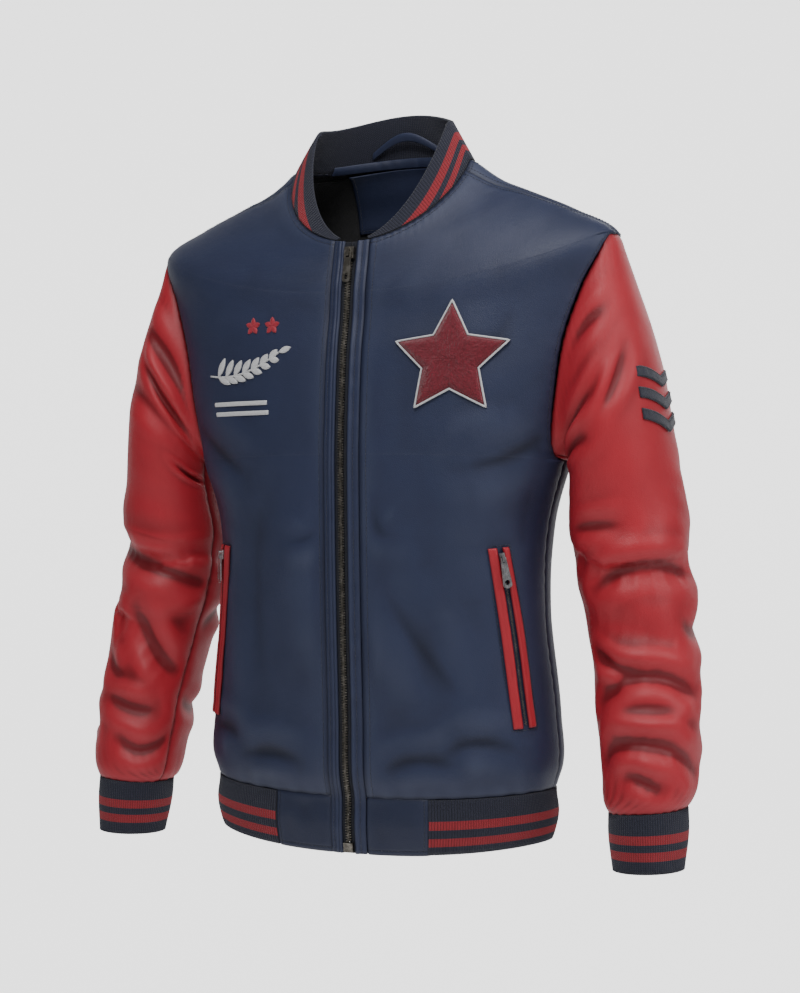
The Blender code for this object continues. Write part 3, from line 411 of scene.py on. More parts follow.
# On the body across is x and down is z, both in metres on the wearer's left
FRONT_LEFT_CREASES = (
    (0.043, -0.405, 0.074, -0.458, 0.112, -0.508, 0.016, -0.0022),
    (0.060, -0.360, 0.052, -0.440, 0.060, -0.520, 0.024, 0.0020),
    (0.188, -0.258, 0.158, -0.284, 0.122, -0.294, 0.012, -0.0026),
    (0.178, -0.290, 0.166, -0.330, 0.160, -0.372, 0.014, -0.0026),
    (0.150, -0.246, 0.128, -0.252, 0.100, -0.262, 0.012, 0.0016),
    (0.120, -0.300, 0.112, -0.360, 0.122, -0.420, 0.022, 0.0020),
    (0.098, -0.560, 0.126, -0.548, 0.158, -0.556, 0.010, -0.0020),
    (0.040, -0.578, 0.070, -0.566, 0.104, -0.570, 0.009, -0.0016),
    (0.030, -0.330, 0.036, -0.350, 0.048, -0.358, 0.008, -0.0010),
    (0.052, -0.120, 0.090, -0.135, 0.150, -0.126, 0.020, 0.0014),
    (0.160, -0.150, 0.146, -0.178, 0.120, -0.196, 0.014, -0.0012),
    (0.100, -0.440, 0.118, -0.500, 0.142, -0.540, 0.018, 0.0018),
)
FRONT_RIGHT_CREASES = (
    (0.180, -0.252, 0.150, -0.276, 0.112, -0.300, 0.013, -0.0026),
    (0.172, -0.300, 0.158, -0.342, 0.154, -0.392, 0.014, -0.0022),
    (0.044, -0.330, 0.050, -0.400, 0.044, -0.470, 0.022, 0.0018),
    (0.090, -0.330, 0.098, -0.410, 0.090, -0.500, 0.022, -0.0018),
    (0.028, -0.352, 0.038, -0.362, 0.060, -0.364, 0.008, -0.0012),
    (0.120, -0.420, 0.124, -0.480, 0.116, -0.550, 0.018, 0.0018),
    (0.050, -0.574, 0.084, -0.566, 0.120, -0.572, 0.010, -0.0020),
    (0.124, -0.556, 0.144, -0.546, 0.166, -0.552, 0.009, -0.0020),
    (0.148, -0.140, 0.120, -0.150, 0.084, -0.146, 0.018, 0.0012),
)
BACK_CREASES = (
    (-0.150, -0.200, -0.120, -0.260, -0.060, -0.300, 0.016, -0.0024),
    (0.160, -0.210, 0.120, -0.262, 0.052, -0.286, 0.015, -0.0026),
    (-0.140, -0.300, -0.070, -0.345, 0.020, -0.350, 0.018, -0.0024),
    (0.150, -0.320, 0.080, -0.372, 0.000, -0.380, 0.018, -0.0022),
    (-0.060, -0.140, 0.000, -0.150, 0.070, -0.138, 0.022, -0.0014),
    (-0.120, -0.430, -0.060, -0.462, 0.010, -0.455, 0.018, -0.0020),
    (0.130, -0.470, 0.070, -0.500, 0.020, -0.494, 0.016, -0.0020),
    (-0.130, -0.560, -0.090, -0.548, -0.040, -0.556, 0.011, -0.0022),
    (0.040, -0.562, 0.080, -0.550, 0.130, -0.558, 0.011, -0.0022),
    (-0.020, -0.572, 0.004, -0.560, 0.030, -0.568, 0.009, -0.0018),
    (-0.030, -0.520, 0.000, -0.440, -0.020, -0.380, 0.026, 0.0018),
)


def smooth(share):
    """A soft step from 0 to 1."""
    share = np.clip(share, 0, 1)
    return share * share * (3 - 2 * share)


def creased(across, down, table):
    """Heights of creases over a grid. A trough has a soft roll on either side."""
    lift = np.zeros(np.broadcast(across, down).shape)
    for x0, y0, x1, y1, x2, y2, width, height in table:
        u = np.linspace(0, 1, 9)
        shares = ((1 - u) ** 2, 2 * u * (1 - u), u**2)
        xs = shares[0] * x0 + shares[1] * (2 * x1 - (x0 + x2) / 2) + shares[2] * x2
        ys = shares[0] * y0 + shares[1] * (2 * y1 - (y0 + y2) / 2) + shares[2] * y2
        near = np.full(lift.shape, np.inf)
        place = np.zeros(lift.shape)
        for step in range(8):
            dx, dy = xs[step + 1] - xs[step], ys[step + 1] - ys[step]
            reach = ((across - xs[step]) * dx + (down - ys[step]) * dy) / (dx * dx + dy * dy)
            reach = np.clip(reach, 0, 1)
            away = np.hypot(across - xs[step] - reach * dx, down - ys[step] - reach * dy)
            closer = away < near
            near = np.where(closer, away, near)
            place = np.where(closer, (step + reach) / 8, place)
        fade = np.sin(math.pi * (0.05 + 0.90 * place)) ** 0.7
        away = near / width
        if height < 0:
            shape = np.exp(-((1.1 * away) ** 1.4)) - 0.55 * np.exp(-(((away - 2.2) / 1.1) ** 2))
        else:
            shape = np.exp(-(away**2))
        lift += height * fade * shape
    return lift


def scattered(first, second, seed):
    """A number from 0 to 1 for each pair of whole numbers."""
    value = np.sin(first * 127.1 + second * 311.7 + seed * 74.7) * 43758.5453
    return value - np.floor(value)


def ripple(x, y, seed):
    """Smooth uneven ground from -1 to 1, with about one bump to a unit."""
    i, j = np.floor(x), np.floor(y)
    u, v = smooth(x - i), smooth(y - j)
    low = scattered(i, j, seed) * (1 - u) + scattered(i + 1, j, seed) * u
    high = scattered(i, j + 1, seed) * (1 - u) + scattered(i + 1, j + 1, seed) * u
    return 2 * (low * (1 - v) + high * v) - 1


def lengths(grid, axis):
    """Distance along a grid's columns (axis 0) or rows (axis 1) from its first edge."""
    steps = np.linalg.norm(np.diff(grid, axis=axis), axis=-1)
    start = np.zeros_like(np.take(steps, [0], axis))
    return np.concatenate([start, np.cumsum(steps, axis)], axis)


def edge_distances(grid):
    """Distances of every point from the first and last column and the first and last row."""
    rows, columns = lengths(grid, 1), lengths(grid, 0)
    return rows, rows[:, -1:] - rows, columns, columns[-1:] - columns


def normals(grid):
    """Outward directions over a grid."""
    across = np.gradient(grid, axis=1)
    down = np.gradient(grid, axis=0)
    out = np.cross(across, down)
    return out / np.maximum(np.linalg.norm(out, axis=-1, keepdims=True), 1e-12)


def turned_in(distance, depth=0.0008, reach=0.0016):
    """A sewn edge rolls down into its seam."""
    return -depth * np.exp(-((distance / reach) ** 2))


def stitched_in(distance, line=0.0042, depth=0.0005, width=0.0009):
    """A row of stitches pulls a shallow channel along an edge."""
    return -depth * np.exp(-(((distance - line) / width) ** 2))


def puckered(distance, place, seed, height=0.0007, reach=0.012, pitch=0.0085):
    """Uneven gathers that run in from a seam and die away."""
    wander = place + 0.3 * pitch * ripple(place / (3 * pitch), place * 0 + seed, seed)
    wave = np.sin(2 * math.pi * wander / pitch) * (0.6 + 0.4 * ripple(place / 0.03, distance * 0, seed + 1))
    return height * wave * np.exp(-distance / reach)


def unevenness(u, v, seed, height=0.0006):
    """The soft hollows that leather keeps from being worn."""
    broad = ripple(u / 0.060, v / 0.075, seed)
    fine = ripple(u / 0.021, v / 0.027, seed + 3)
    return height * (broad + 0.35 * fine)


# ---------------------------------------------------------------- materials

def node(tree, kind, inputs=None, **settings):
    """A shader node with its settings, its values and its links."""
    made = tree.nodes.new(kind)
    for name, value in settings.items():
        setattr(made, name, value)
    for name, value in (inputs or {}).items():
        if isinstance(value, bpy.types.NodeSocket):
            tree.links.new(value, made.inputs[name])
        else:
            made.inputs[name].default_value = value
    return made


def calc(tree, operation, first, second=0.0, third=0.0, clamp=False):
    """One step of arithmetic on values."""
    return node(tree, "ShaderNodeMath", {0: first, 1: second, 2: third}, operation=operation,
                use_clamp=clamp).outputs[0]


def mixed(tree, share, first, second):
    """A colour between two."""
    made = node(tree, "ShaderNodeMix", data_type="RGBA")
    for socket, value in ((made.inputs[0], share), (made.inputs[6], first), (made.inputs[7], second)):
        if isinstance(value, bpy.types.NodeSocket):
            tree.links.new(value, socket)
        else:
            socket.default_value = value
    return made.outputs[2]


def stretched(tree, value, low, high, first, second):
    """A value moved from one range to another."""
    return node(tree, "ShaderNodeMapRange", {"Value": value, "From Min": low, "From Max": high,
                                             "To Min": first, "To Max": second}).outputs["Result"]


def new_group(name, inputs, outputs):
    """An empty node group with named sockets."""
    group = bpy.data.node_groups.new(name, "ShaderNodeTree")
    for socket, kind in inputs:
        group.interface.new_socket(name=socket, in_out="INPUT", socket_type=kind)
    for socket, kind in outputs:
        group.interface.new_socket(name=socket, in_out="OUTPUT", socket_type=kind)
    return group, group.nodes.new("NodeGroupInput"), group.nodes.new("NodeGroupOutput")


def grain_group():
    """Leather grain: pebbles split by fine valleys, over faint wrinkles and slow patches."""
    group, _, last = new_group("leather_grain", (), (("Height", "NodeSocketFloat"),
                                                     ("Patch", "NodeSocketFloat")))
    place = node(group, "ShaderNodeUVMap", uv_map="metres").outputs["UV"]
    bend = node(group, "ShaderNodeTexNoise", {"Vector": place, "Scale": 420.0, "Detail": 1.0})
    shift = node(group, "ShaderNodeVectorMath", {0: bend.outputs["Color"], 1: (0.0006, 0.0006, 0.0)},
                 operation="MULTIPLY").outputs[0]
    moved = node(group, "ShaderNodeVectorMath", {0: place, 1: shift}, operation="ADD").outputs[0]
    pebble = node(group, "ShaderNodeTexVoronoi", {"Vector": moved, "Scale": 720.0},
                  feature="DISTANCE_TO_EDGE").outputs["Distance"]
    valley = stretched(group, pebble, 0.0, 0.30, 0.0, 1.0)
    wrinkle = node(group, "ShaderNodeTexNoise", {"Vector": place, "Scale": 150.0, "Detail": 4.0,
                                                 "Roughness": 0.62}).outputs["Fac"]
    patch = node(group, "ShaderNodeTexNoise", {"Vector": place, "Scale": 13.0, "Detail": 3.0,
                                               "Roughness": 0.55}).outputs["Fac"]
    both = calc(group, "ADD", calc(group, "MULTIPLY", valley, 0.45),
                calc(group, "MULTIPLY", wrinkle, 0.9))
    group.links.new(both, last.inputs["Height"])
    group.links.new(patch, last.inputs["Patch"])
    return group


def knit_group():
    """Rib knit: a column of small V stitches along every rib, and two stripes across it."""
    ends = [("First", "NodeSocketFloat"), ("First End", "NodeSocketFloat"),
            ("Second", "NodeSocketFloat"), ("Second End", "NodeSocketFloat")]
    group, first, last = new_group("rib_knit", ends, (("Stripe", "NodeSocketFloat"),
                                                      ("Height", "NodeSocketFloat"),
                                                      ("Furrow", "NodeSocketFloat")))
    place = node(group, "ShaderNodeSeparateXYZ",
                 {0: node(group, "ShaderNodeUVMap", uv_map="metres").outputs["UV"]})
    rib = calc(group, "DIVIDE", place.outputs["X"], RIB_PITCH)
    beside = calc(group, "ABSOLUTE", calc(group, "SUBTRACT", calc(group, "FRACT", rib), 0.5))
    stitch = calc(group, "DIVIDE", place.outputs["Y"], STITCH_ROW)
    slanted = calc(group, "ADD", stitch, calc(group, "MULTIPLY", beside, 1.4))
    wave = calc(group, "SINE", calc(group, "MULTIPLY", slanted, 2 * math.pi))
    group.links.new(calc(group, "MULTIPLY_ADD", wave, 0.5, 0.5), last.inputs["Height"])
    # Furrow is 1 between the ribs and 0 on their middles; the knit paints shade there
    group.links.new(stretched(group, beside, 0.28, 0.5, 0.0, 1.0), last.inputs["Furrow"])
    # Stripe edges follow whole stitches
    down = calc(group, "MULTIPLY", calc(group, "ROUND", calc(group, "DIVIDE", place.outputs["Y"],
                                                             STITCH_ROW / 2)), STITCH_ROW / 2)
    bands = []
    for start, end in (("First", "First End"), ("Second", "Second End")):
        below = calc(group, "GREATER_THAN", down, first.outputs[start])
        above = calc(group, "LESS_THAN", down, first.outputs[end])
        bands.append(calc(group, "MULTIPLY", below, above))
    group.links.new(calc(group, "ADD", *bands, clamp=True), last.inputs["Stripe"])
    return group


def weave_group():
    """Threads crossing at a given pitch, and loose fuzz over them."""
    group, first, last = new_group("weave", (("Pitch", "NodeSocketFloat"),),
                                   (("Height", "NodeSocketFloat"), ("Fuzz", "NodeSocketFloat")))
    place = node(group, "ShaderNodeTexCoord").outputs["Object"]
    parts = node(group, "ShaderNodeSeparateXYZ", {0: place})
    waves = []
    for axis in ("X", "Z"):
        turns = calc(group, "DIVIDE", parts.outputs[axis], first.outputs["Pitch"])
        waves.append(calc(group, "SINE", calc(group, "MULTIPLY", turns, 2 * math.pi)))
    group.links.new(calc(group, "MULTIPLY", *waves), last.inputs["Height"])
    fuzz = node(group, "ShaderNodeTexNoise", {"Vector": place, "Scale": 900.0, "Detail": 3.0})
    group.links.new(fuzz.outputs["Fac"], last.inputs["Fuzz"])
    return group


def plain_material(name, roughness, metallic=0.0, **constants):
    """A material, its tree and its shader, with constants set on the shader."""
    material = bpy.data.materials.new(name)
    material.use_nodes = True
    tree = material.node_tree
    shader = tree.nodes["Principled BSDF"]
    shader.inputs["Roughness"].default_value = roughness
    shader.inputs["Metallic"].default_value = metallic
    for socket, value in constants.items():
        shader.inputs[socket.replace("_", " ")].default_value = value
    return material, tree, shader


def bumped(tree, shader, height, distance, strength=1.0):
    """Feed a height to a shader as small relief."""
    bump = node(tree, "ShaderNodeBump", {"Height": height, "Distance": distance,
                                         "Strength": strength})
    tree.links.new(bump.outputs[0], shader.inputs["Normal"])


def leather(name, painted_shade_colour, base, wear_and_highlight, grain):
    """Grained leather, with painted shade in troughs and along seams and a painted highlight along crests."""
    material, tree, shader = plain_material(name, 0.46, Coat_Weight=0.04, Coat_Roughness=0.34)
    shader.inputs["Specular IOR Level"].default_value = 0.38
    made = node(tree, "ShaderNodeGroup", node_tree=grain)
    crest = node(tree, "ShaderNodeAttribute", attribute_name="crest").outputs["Fac"]
    seam = node(tree, "ShaderNodeAttribute", attribute_name="seam").outputs["Fac"]
    patch = made.outputs["Patch"]
    mottled = mixed(tree, stretched(tree, patch, 0.35, 0.68, 0.0, 1.0), base,
                    tuple(0.86 * value for value in base[:3]) + (1.0,))
    # Painted highlight: crests are mixed towards a paler colour, in patches
    high = calc(tree, "MULTIPLY", stretched(tree, crest, 0.52, 0.90, 0.0, 0.50), patch)
    colour = mixed(tree, high, mottled, wear_and_highlight)
    # Painted shade: troughs and seams are mixed towards a dark colour
    low = stretched(tree, crest, 0.49, 0.12, 0.0, 0.80)
    colour = mixed(tree, low, colour, painted_shade_colour)
    colour = mixed(tree, calc(tree, "MULTIPLY", seam, 0.55), colour, painted_shade_colour)
    tree.links.new(colour, shader.inputs["Base Color"])
    rough = calc(tree, "ADD", stretched(tree, patch, 0.3, 0.7, 0.40, 0.50),
                 calc(tree, "MULTIPLY", made.outputs["Height"], 0.05))
    tree.links.new(rough, shader.inputs["Roughness"])
    bumped(tree, shader, made.outputs["Height"], 0.00022, 0.8)
    return material


def knit(name, knit_nodes, stripes):
    """Striped rib knit, in wool with a soft sheen, and painted shade in the furrows between ribs."""
    material, tree, shader = plain_material(name, 0.92, Sheen_Weight=0.18, Sheen_Roughness=0.5)
    made = node(tree, "ShaderNodeGroup", node_tree=knit_nodes)
    for socket, value in zip(made.inputs, stripes):
        socket.default_value = value
    colour = mixed(tree, made.outputs["Stripe"], KNIT_NAVY, KNIT_RED)
    place = node(tree, "ShaderNodeUVMap", uv_map="metres").outputs["UV"]
    yarn = node(tree, "ShaderNodeTexNoise", {"Vector": place, "Scale": 1500.0, "Detail": 2.0})
    # Painted shade: the colour is darkened in the furrows between ribs, with yarn noise over it
    shade = calc(tree, "MULTIPLY", stretched(tree, made.outputs["Furrow"], 0.0, 1.0, 1.0, 0.42),
                 stretched(tree, yarn.outputs["Fac"], 0.3, 0.7, 0.82, 1.15))
    grey = node(tree, "ShaderNodeCombineColor", {0: shade, 1: shade, 2: shade}).outputs[0]
    darker = node(tree, "ShaderNodeMix", data_type="RGBA", blend_type="MULTIPLY")
    darker.inputs[0].default_value = 1.0
    tree.links.new(colour, darker.inputs[6])
    tree.links.new(grey, darker.inputs[7])
    tree.links.new(darker.outputs[2], shader.inputs["Base Color"])
    height = calc(tree, "ADD", made.outputs["Height"], calc(tree, "MULTIPLY", yarn.outputs["Fac"], 0.5))
    bumped(tree, shader, height, 0.00035)
    return material


def woollen(name, colour, weave, pitch, relief, sheen=0.3):
    """Woven, felted or fleecy cloth."""
    material, tree, shader = plain_material(name, 0.95, Sheen_Weight=sheen, Sheen_Roughness=0.45)
    made = node(tree, "ShaderNodeGroup", {"Pitch": pitch}, node_tree=weave)
    darker = tuple(0.55 * value for value in colour[:3]) + (1.0,)
    share = stretched(tree, made.outputs["Fuzz"], 0.35, 0.65, 0.0, 1.0)
    tree.links.new(mixed(tree, share, darker, colour), shader.inputs["Base Color"])
    height = calc(tree, "ADD", calc(tree, "MULTIPLY", made.outputs["Height"], 0.4),
                  made.outputs["Fuzz"])
    bumped(tree, shader, height, relief)
    return material


def metal(name, colour, roughness, wear_and_highlight):
    """Plated metal, rubbed brighter in patches, with fine scratches."""
    material, tree, shader = plain_material(name, roughness, 1.0)
    place = node(tree, "ShaderNodeTexCoord").outputs["Object"]
    patch = node(tree, "ShaderNodeTexNoise", {"Vector": place, "Scale": 260.0, "Detail": 3.0})
    share = stretched(tree, patch.outputs["Fac"], 0.42, 0.68, 0.0, 0.8)
    tree.links.new(mixed(tree, share, colour, wear_and_highlight), shader.inputs["Base Color"])
    long = node(tree, "ShaderNodeMapping", {"Vector": place, "Scale": (2600.0, 2600.0, 180.0)})
    scratch = node(tree, "ShaderNodeTexNoise", {"Vector": long.outputs[0], "Scale": 1.0})
    rough = stretched(tree, scratch.outputs["Fac"], 0.3, 0.7, roughness - 0.06, roughness + 0.10)
    tree.links.new(rough, shader.inputs["Roughness"])
    bumped(tree, shader, scratch.outputs["Fac"], 0.00003)
    return material


def thread(name, colour):
    """Twisted sewing thread."""
    material, tree, shader = plain_material(name, 0.55, Sheen_Weight=0.2)
    place = node(tree, "ShaderNodeTexCoord").outputs["Object"]
    twist = node(tree, "ShaderNodeTexNoise", {"Vector": place, "Scale": 2400.0, "Detail": 1.0})
    darker = tuple(0.65 * value for value in colour[:3]) + (1.0,)
    share = stretched(tree, twist.outputs["Fac"], 0.35, 0.65, 0.0, 1.0)
    tree.links.new(mixed(tree, share, darker, colour), shader.inputs["Base Color"])
    bumped(tree, shader, twist.outputs["Fac"], 0.0001)
    return material


# ---------------------------------------------------------------- making pieces

def link(name, mesh, slot, *looks):
    """Put a mesh in the scene on the jacket's body, with its materials."""
    for look in looks:
        mesh.materials.append(look)
    piece = bpy.data.objects.new(name, mesh)
    bpy.context.scene.collection.objects.link(piece)
    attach(piece, "jacket")
    return piece


def blurred(lift, steps):
    """A grid of values with its short waves taken out."""
    for _ in range(steps):
        padded = np.pad(lift, 1, mode="edge")
        lift = (padded[:-2, 1:-1] + padded[2:, 1:-1] + padded[1:-1, :-2] + padded[1:-1, 2:]) / 4
    return lift


def spread_out(grid, lift):
    """Each place's mean height, over the same distance wherever the rows are close together."""
    run = lengths(grid, 0)[:, grid.shape[1] // 2]
    even = np.linspace(0, run[-1], len(run))
    columns = range(grid.shape[1])
    level = blurred(np.stack([np.interp(even, run, lift[:, column]) for column in columns], 1), 14)
    return np.stack([np.interp(run, even, level[:, column]) for column in columns], 1)


def rim_faces(rows, columns, closed):
    """Faces that join a sheet's outer points to its inner ones round the rim."""
    count = rows * columns
    across = range(columns if closed else columns - 1)
    rim = [(column, (column + 1) % columns) for column in across]
    last = (rows - 1) * columns
    rim += [(last + (column + 1) % columns, last + column) for column in across]
    if not closed:
        for row in range(rows - 1):
            rim.append(((row + 1) * columns, row * columns))
            rim.append((row * columns + columns - 1, (row + 1) * columns + columns - 1))
    return [(here, count + here, count + after, after) for here, after in rim]


def with_allowance(values, reach, depth=None):
    """A strip beyond a grid's first and last columns and rows, for a seam's turned-in cloth."""
    left, right, low, high = reach
    for axis, ends in ((1, (left, right)), (0, (low, high))):
        edges = []
        for end, (edge, inside) in zip(ends, ((0, 1), (-1, -2))):
            rim, inner = np.take(values, [edge], axis), np.take(values, [inside], axis)
            if depth is None:
                ahead = rim - inner
                rim = rim + ahead / np.maximum(np.linalg.norm(ahead, axis=-1, keepdims=True), 1e-9) * end
            else:
                rim = rim - depth
            edges.append(rim if end > 0 else None)
        parts = [part for part in (edges[0], values, edges[1]) if part is not None]
        values = np.concatenate(parts, axis)
    return values


def sheet_piece(name, grid, wall, slot, looks, lift=None, uv=None, closed=False, seam=None,
                crest_gain=420.0, smooth_back=False, allowance=None, eased=0):
    """A thin shell on a grid of points. looks are the outer material and the lining's.

    A smooth back doesn't follow the lift, as behind ribs. allowance gives how far the cloth goes
    on under its neighbours, past the first and last columns and the first and last rows. eased is
    how many times the points are evened out, so that deep creases don't fold through themselves.
    """
    if allowance:
        uv = np.stack([lengths(grid, 1), np.broadcast_to(lengths(grid, 0)[:, grid.shape[1] // 2, None],
                                                         grid.shape[:2])], -1)
        grid, uv = with_allowance(grid, allowance), with_allowance(uv, allowance)
        lift = with_allowance(lift, allowance, ALLOWANCE_DEPTH)
        seam = with_allowance(seam, allowance, 0.0)
    rows, columns = grid.shape[:2]
    lift = np.zeros((rows, columns)) if lift is None else lift
    points = grid + normals(grid) * lift[..., None]
    for _ in range(eased):
        beside = (points[:-2, 1:-1] + points[2:, 1:-1] + points[1:-1, :-2] + points[1:-1, 2:]) / 4
        points[1:-1, 1:-1] = (points[1:-1, 1:-1] + beside) / 2
    if uv is None:
        uv = np.stack([lengths(grid, 1), np.broadcast_to(lengths(grid, 0)[:, columns // 2, None],
                                                         (rows, columns))], -1)
    # How far each place stands above the mean round it: the leather paints its highlight on crests and its
    # shade in troughs from this
    crest = np.clip(0.5 + crest_gain * (lift - spread_out(grid, lift)), 0, 1)
    seam = np.zeros((rows, columns)) if seam is None else seam
    faces, corners = [], []
    for row in range(rows - 1):
        for column in range(columns if closed else columns - 1):
            beside = (column + 1) % columns
            faces.append((row * columns + column, row * columns + beside,
                          (row + 1) * columns + beside, (row + 1) * columns + column))
            step = uv[row, 1, 0] - uv[row, 0, 0] if beside == 0 else 0.0
            far = uv[row, beside] if beside else uv[row, column] + (step, 0.0)
            far_down = uv[row + 1, beside] if beside else uv[row + 1, column] + (step, 0.0)
            corners += [uv[row, column], far, far_down, uv[row + 1, column]]
    places = points.reshape(-1, 3)
    if smooth_back:
        count = rows * columns
        back = (grid - normals(grid) * wall).reshape(-1, 3)
        places = np.concatenate([places, back])
        rim = rim_faces(rows, columns, closed)
        faces += [tuple(count + corner for corner in reversed(face)) for face in faces] + rim
        backs = np.array(corners).reshape(-1, 4, 2)[:, ::-1]
        corners = np.concatenate([np.array(corners), backs.reshape(-1, 2), np.zeros((4 * len(rim), 2))])
        crest, seam = [np.concatenate([values.ravel(), values.ravel()]) for values in (crest, seam)]
    mesh = bpy.data.meshes.new(name)
    mesh.from_pydata(places.tolist(), [], faces)
    layer = mesh.uv_layers.new(name="metres")
    layer.data.foreach_set("uv", np.array(corners, np.float32).ravel())
    # crest and seam are masks for the leather's painted highlight and painted shade
    for label, values in (("crest", crest), ("seam", seam)):
        attribute = mesh.attributes.new(label, "FLOAT", "POINT")
        attribute.data.foreach_set("value", values.astype(np.float32).ravel())
    mesh.shade_smooth()
    piece = link(name, mesh, slot, *looks)
    if smooth_back:
        return piece
    solid = piece.modifiers.new("Wall", "SOLIDIFY")
    solid.thickness = wall
    solid.offset = -1
    if len(looks) > 1:
        solid.material_offset = 1
    return piece


def stitches(name, paths, look, slot, pitch=0.0032, length=0.0023, radius=0.00030):
    """Rows of sewing stitches. Each path is a line of points and the outward directions there."""
    points, faces = [], []
    around = ((1, 0), (0, 1), (-1, 0), (0, -0.4))
    for line, out in paths:
        run = lengths(line[None], 1)[0]
        count = int(run[-1] / pitch)
        for number in range(count):
            start = (number + 0.5) * run[-1] / count - length / 2
            marks = start + length * np.array([0.0, 0.3, 0.7, 1.0])
            spots = np.stack([np.interp(marks, run, line[:, axis]) for axis in range(3)], -1)
            away = np.stack([np.interp(marks, run, out[:, axis]) for axis in range(3)], -1)
            ahead = spots[-1] - spots[0]
            ahead /= np.linalg.norm(ahead)
            side = np.cross(away, ahead)
            first = len(points)
            for spot, lead, up, size in zip(spots, away, (-0.3, 0.55, 0.55, -0.3), (0.5, 1, 1, 0.5)):
                for across, rise in around:
                    points.append(spot + side[0] * across * radius * size
                                  + lead * radius * (up + rise * size))
            for ring in range(3):
                for corner in range(4):
                    beside = (corner + 1) % 4
                    low, high = first + ring * 4, first + ring * 4 + 4
                    faces.append((low + corner, low + beside, high + beside, high + corner))
            faces.append((first + 3, first + 2, first + 1, first))
            faces.append((first + 12, first + 13, first + 14, first + 15))
    mesh = bpy.data.meshes.new(name)
    mesh.from_pydata(np.array(points).tolist(), [], faces)
    mesh.shade_smooth()
    shape = bmesh.new()
    shape.from_mesh(mesh)
    bmesh.ops.recalc_face_normals(shape, faces=shape.faces)
    shape.to_mesh(mesh)
    shape.free()
    return link(name, mesh, slot, look)


def cord_piece(name, line, out, radius, look, slot, sides=8, closed=True):
    """A round cord along a line of points that lies on cloth."""
    ahead = np.roll(line, -1, 0) - np.roll(line, 1, 0) if closed else np.gradient(line, axis=0)
    ahead /= np.linalg.norm(ahead, axis=-1, keepdims=True)
    side = np.cross(ahead, out)
    side /= np.linalg.norm(side, axis=-1, keepdims=True)
    angles = np.linspace(0, 2 * math.pi, sides, endpoint=False)
    grid = (line[:, None] + radius * (side[:, None] * np.cos(angles)[None, :, None]
                                      + out[:, None] * np.sin(angles)[None, :, None]))
    rows = len(line)
    faces = []
    for row in range(rows if closed else rows - 1):
        for column in range(sides):
            beside, after = (column + 1) % sides, (row + 1) % rows
            faces.append((row * sides + column, after * sides + column,
                          after * sides + beside, row * sides + beside))
    if not closed:
        faces.append(tuple(range(sides)))
        faces.append(tuple(range(rows * sides - 1, (rows - 1) * sides - 1, -1)))
    mesh = bpy.data.meshes.new(name)
    mesh.from_pydata(grid.reshape(-1, 3).tolist(), [], faces)
    mesh.shade_smooth()
    shape = bmesh.new()
    shape.from_mesh(mesh)
    bmesh.ops.recalc_face_normals(shape, faces=shape.faces)
    shape.to_mesh(mesh)
    shape.free()
    return link(name, mesh, slot, look)


def declare(piece, nodes, held, *others):
    """Hide the solids that a piece stands for."""
    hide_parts(*nodes)


# ---------------------------------------------------------------- the body

def side_edge(level, back):
    """The turn of the side seam, armhole and shoulder seam at each level."""
    height = np.clip((level - ARMPIT) / (SHOULDER_TIP - ARMPIT), 0, 1)
    angle = np.arccos(2 * height - 1) * (-1 if back else 1)
    rise = np.clip((level - SHOULDER_TIP) / (NECK_SEAM - SHOULDER_TIP), 0, 1)
    shoulder = math.pi / 2 - SHOULDER_SEAM_FORWARD * np.sqrt(rise)
    edge = np.where(level <= ARMPIT, math.pi / 2, armhole(angle)[0])
    return np.where(level >= SHOULDER_TIP, shoulder, edge)


def fine_levels():
    """Rows of the body panels: close together where the armhole turns."""
    below = np.linspace(HEM_SEAM + SEAM, ARMPIT, 92)[:-1]
    beside = armhole(np.linspace(math.pi, 0, 66))[1]
    above = np.linspace(SHOULDER_TIP, NECK_SEAM - SEAM, 44)[1:]
    return np.concatenate([below, beside, above])


def trimmed(turn, level, gap):
    """A turn moved on by a distance along the body."""
    step = 1e-3
    reach = torso(turn + step, level) - torso(turn - step, level)
    return turn + gap * 2 * step / np.linalg.norm(reach, axis=-1)


def front_grid():
    levels = fine_levels()
    first = turn_at(np.full(len(levels), PLACKET_EDGE + SEAM), levels)
    last = trimmed(side_edge(levels, False), levels, -SEAM / 2)
    turns = first[:, None] + (last - first)[:, None] * np.linspace(0, 1, 72)[None, :]
    return torso(turns, np.broadcast_to(levels[:, None], turns.shape))


def panel_lift(grid, table, seed, hem_row=0):
    """Creases, seams and puckers of a body panel, whose first row runs along the hem band."""
    near, far, low, high = edge_distances(grid)
    lift = creased(grid[..., 0], grid[..., 2], table)
    lift = lift + unevenness(grid[..., 0], grid[..., 2], seed)
    lift *= smooth(np.minimum(np.minimum(near, far), np.minimum(low, high)) / 0.018)
    lift += puckered(low, near, seed + 5, 0.0005, 0.012, 0.0210)
    lift += puckered(far, low, seed + 7, 0.0004, 0.008, 0.0140)
    lift += puckered(high, near, seed + 9, 0.0004, 0.006, 0.0080)
    for distance in (near, far, low, high):
        lift += turned_in(distance)
    lift += stitched_in(far) + stitched_in(high, 0.0038)
    # Painted shade: the leather is darkened near every edge, along the seams
    seam = np.exp(-np.minimum(np.minimum(near, far), np.minimum(low, high)) / 0.0016)
    return lift, seam


def on_grid(grid, lift, rows, columns, above):
    """A line of points at fractional rows and columns of a lifted grid, and directions there."""
    out = normals(grid)
    points = grid + out * (lift + above)[..., None]
    low_row, low_column = np.floor(rows).astype(int), np.floor(columns).astype(int)
    low_row = np.clip(low_row, 0, grid.shape[0] - 2)
    low_column = np.clip(low_column, 0, grid.shape[1] - 2)
    down, across = (rows - low_row)[:, None], (columns - low_column)[:, None]
    line = []
    for values in (points, out):
        start = (values[low_row, low_column] * (1 - across)
                 + values[low_row, low_column + 1] * across)
        end = (values[low_row + 1, low_column] * (1 - across)
               + values[low_row + 1, low_column + 1] * across)
        line.append(start * (1 - down) + end * down)
    return line[0], line[1]


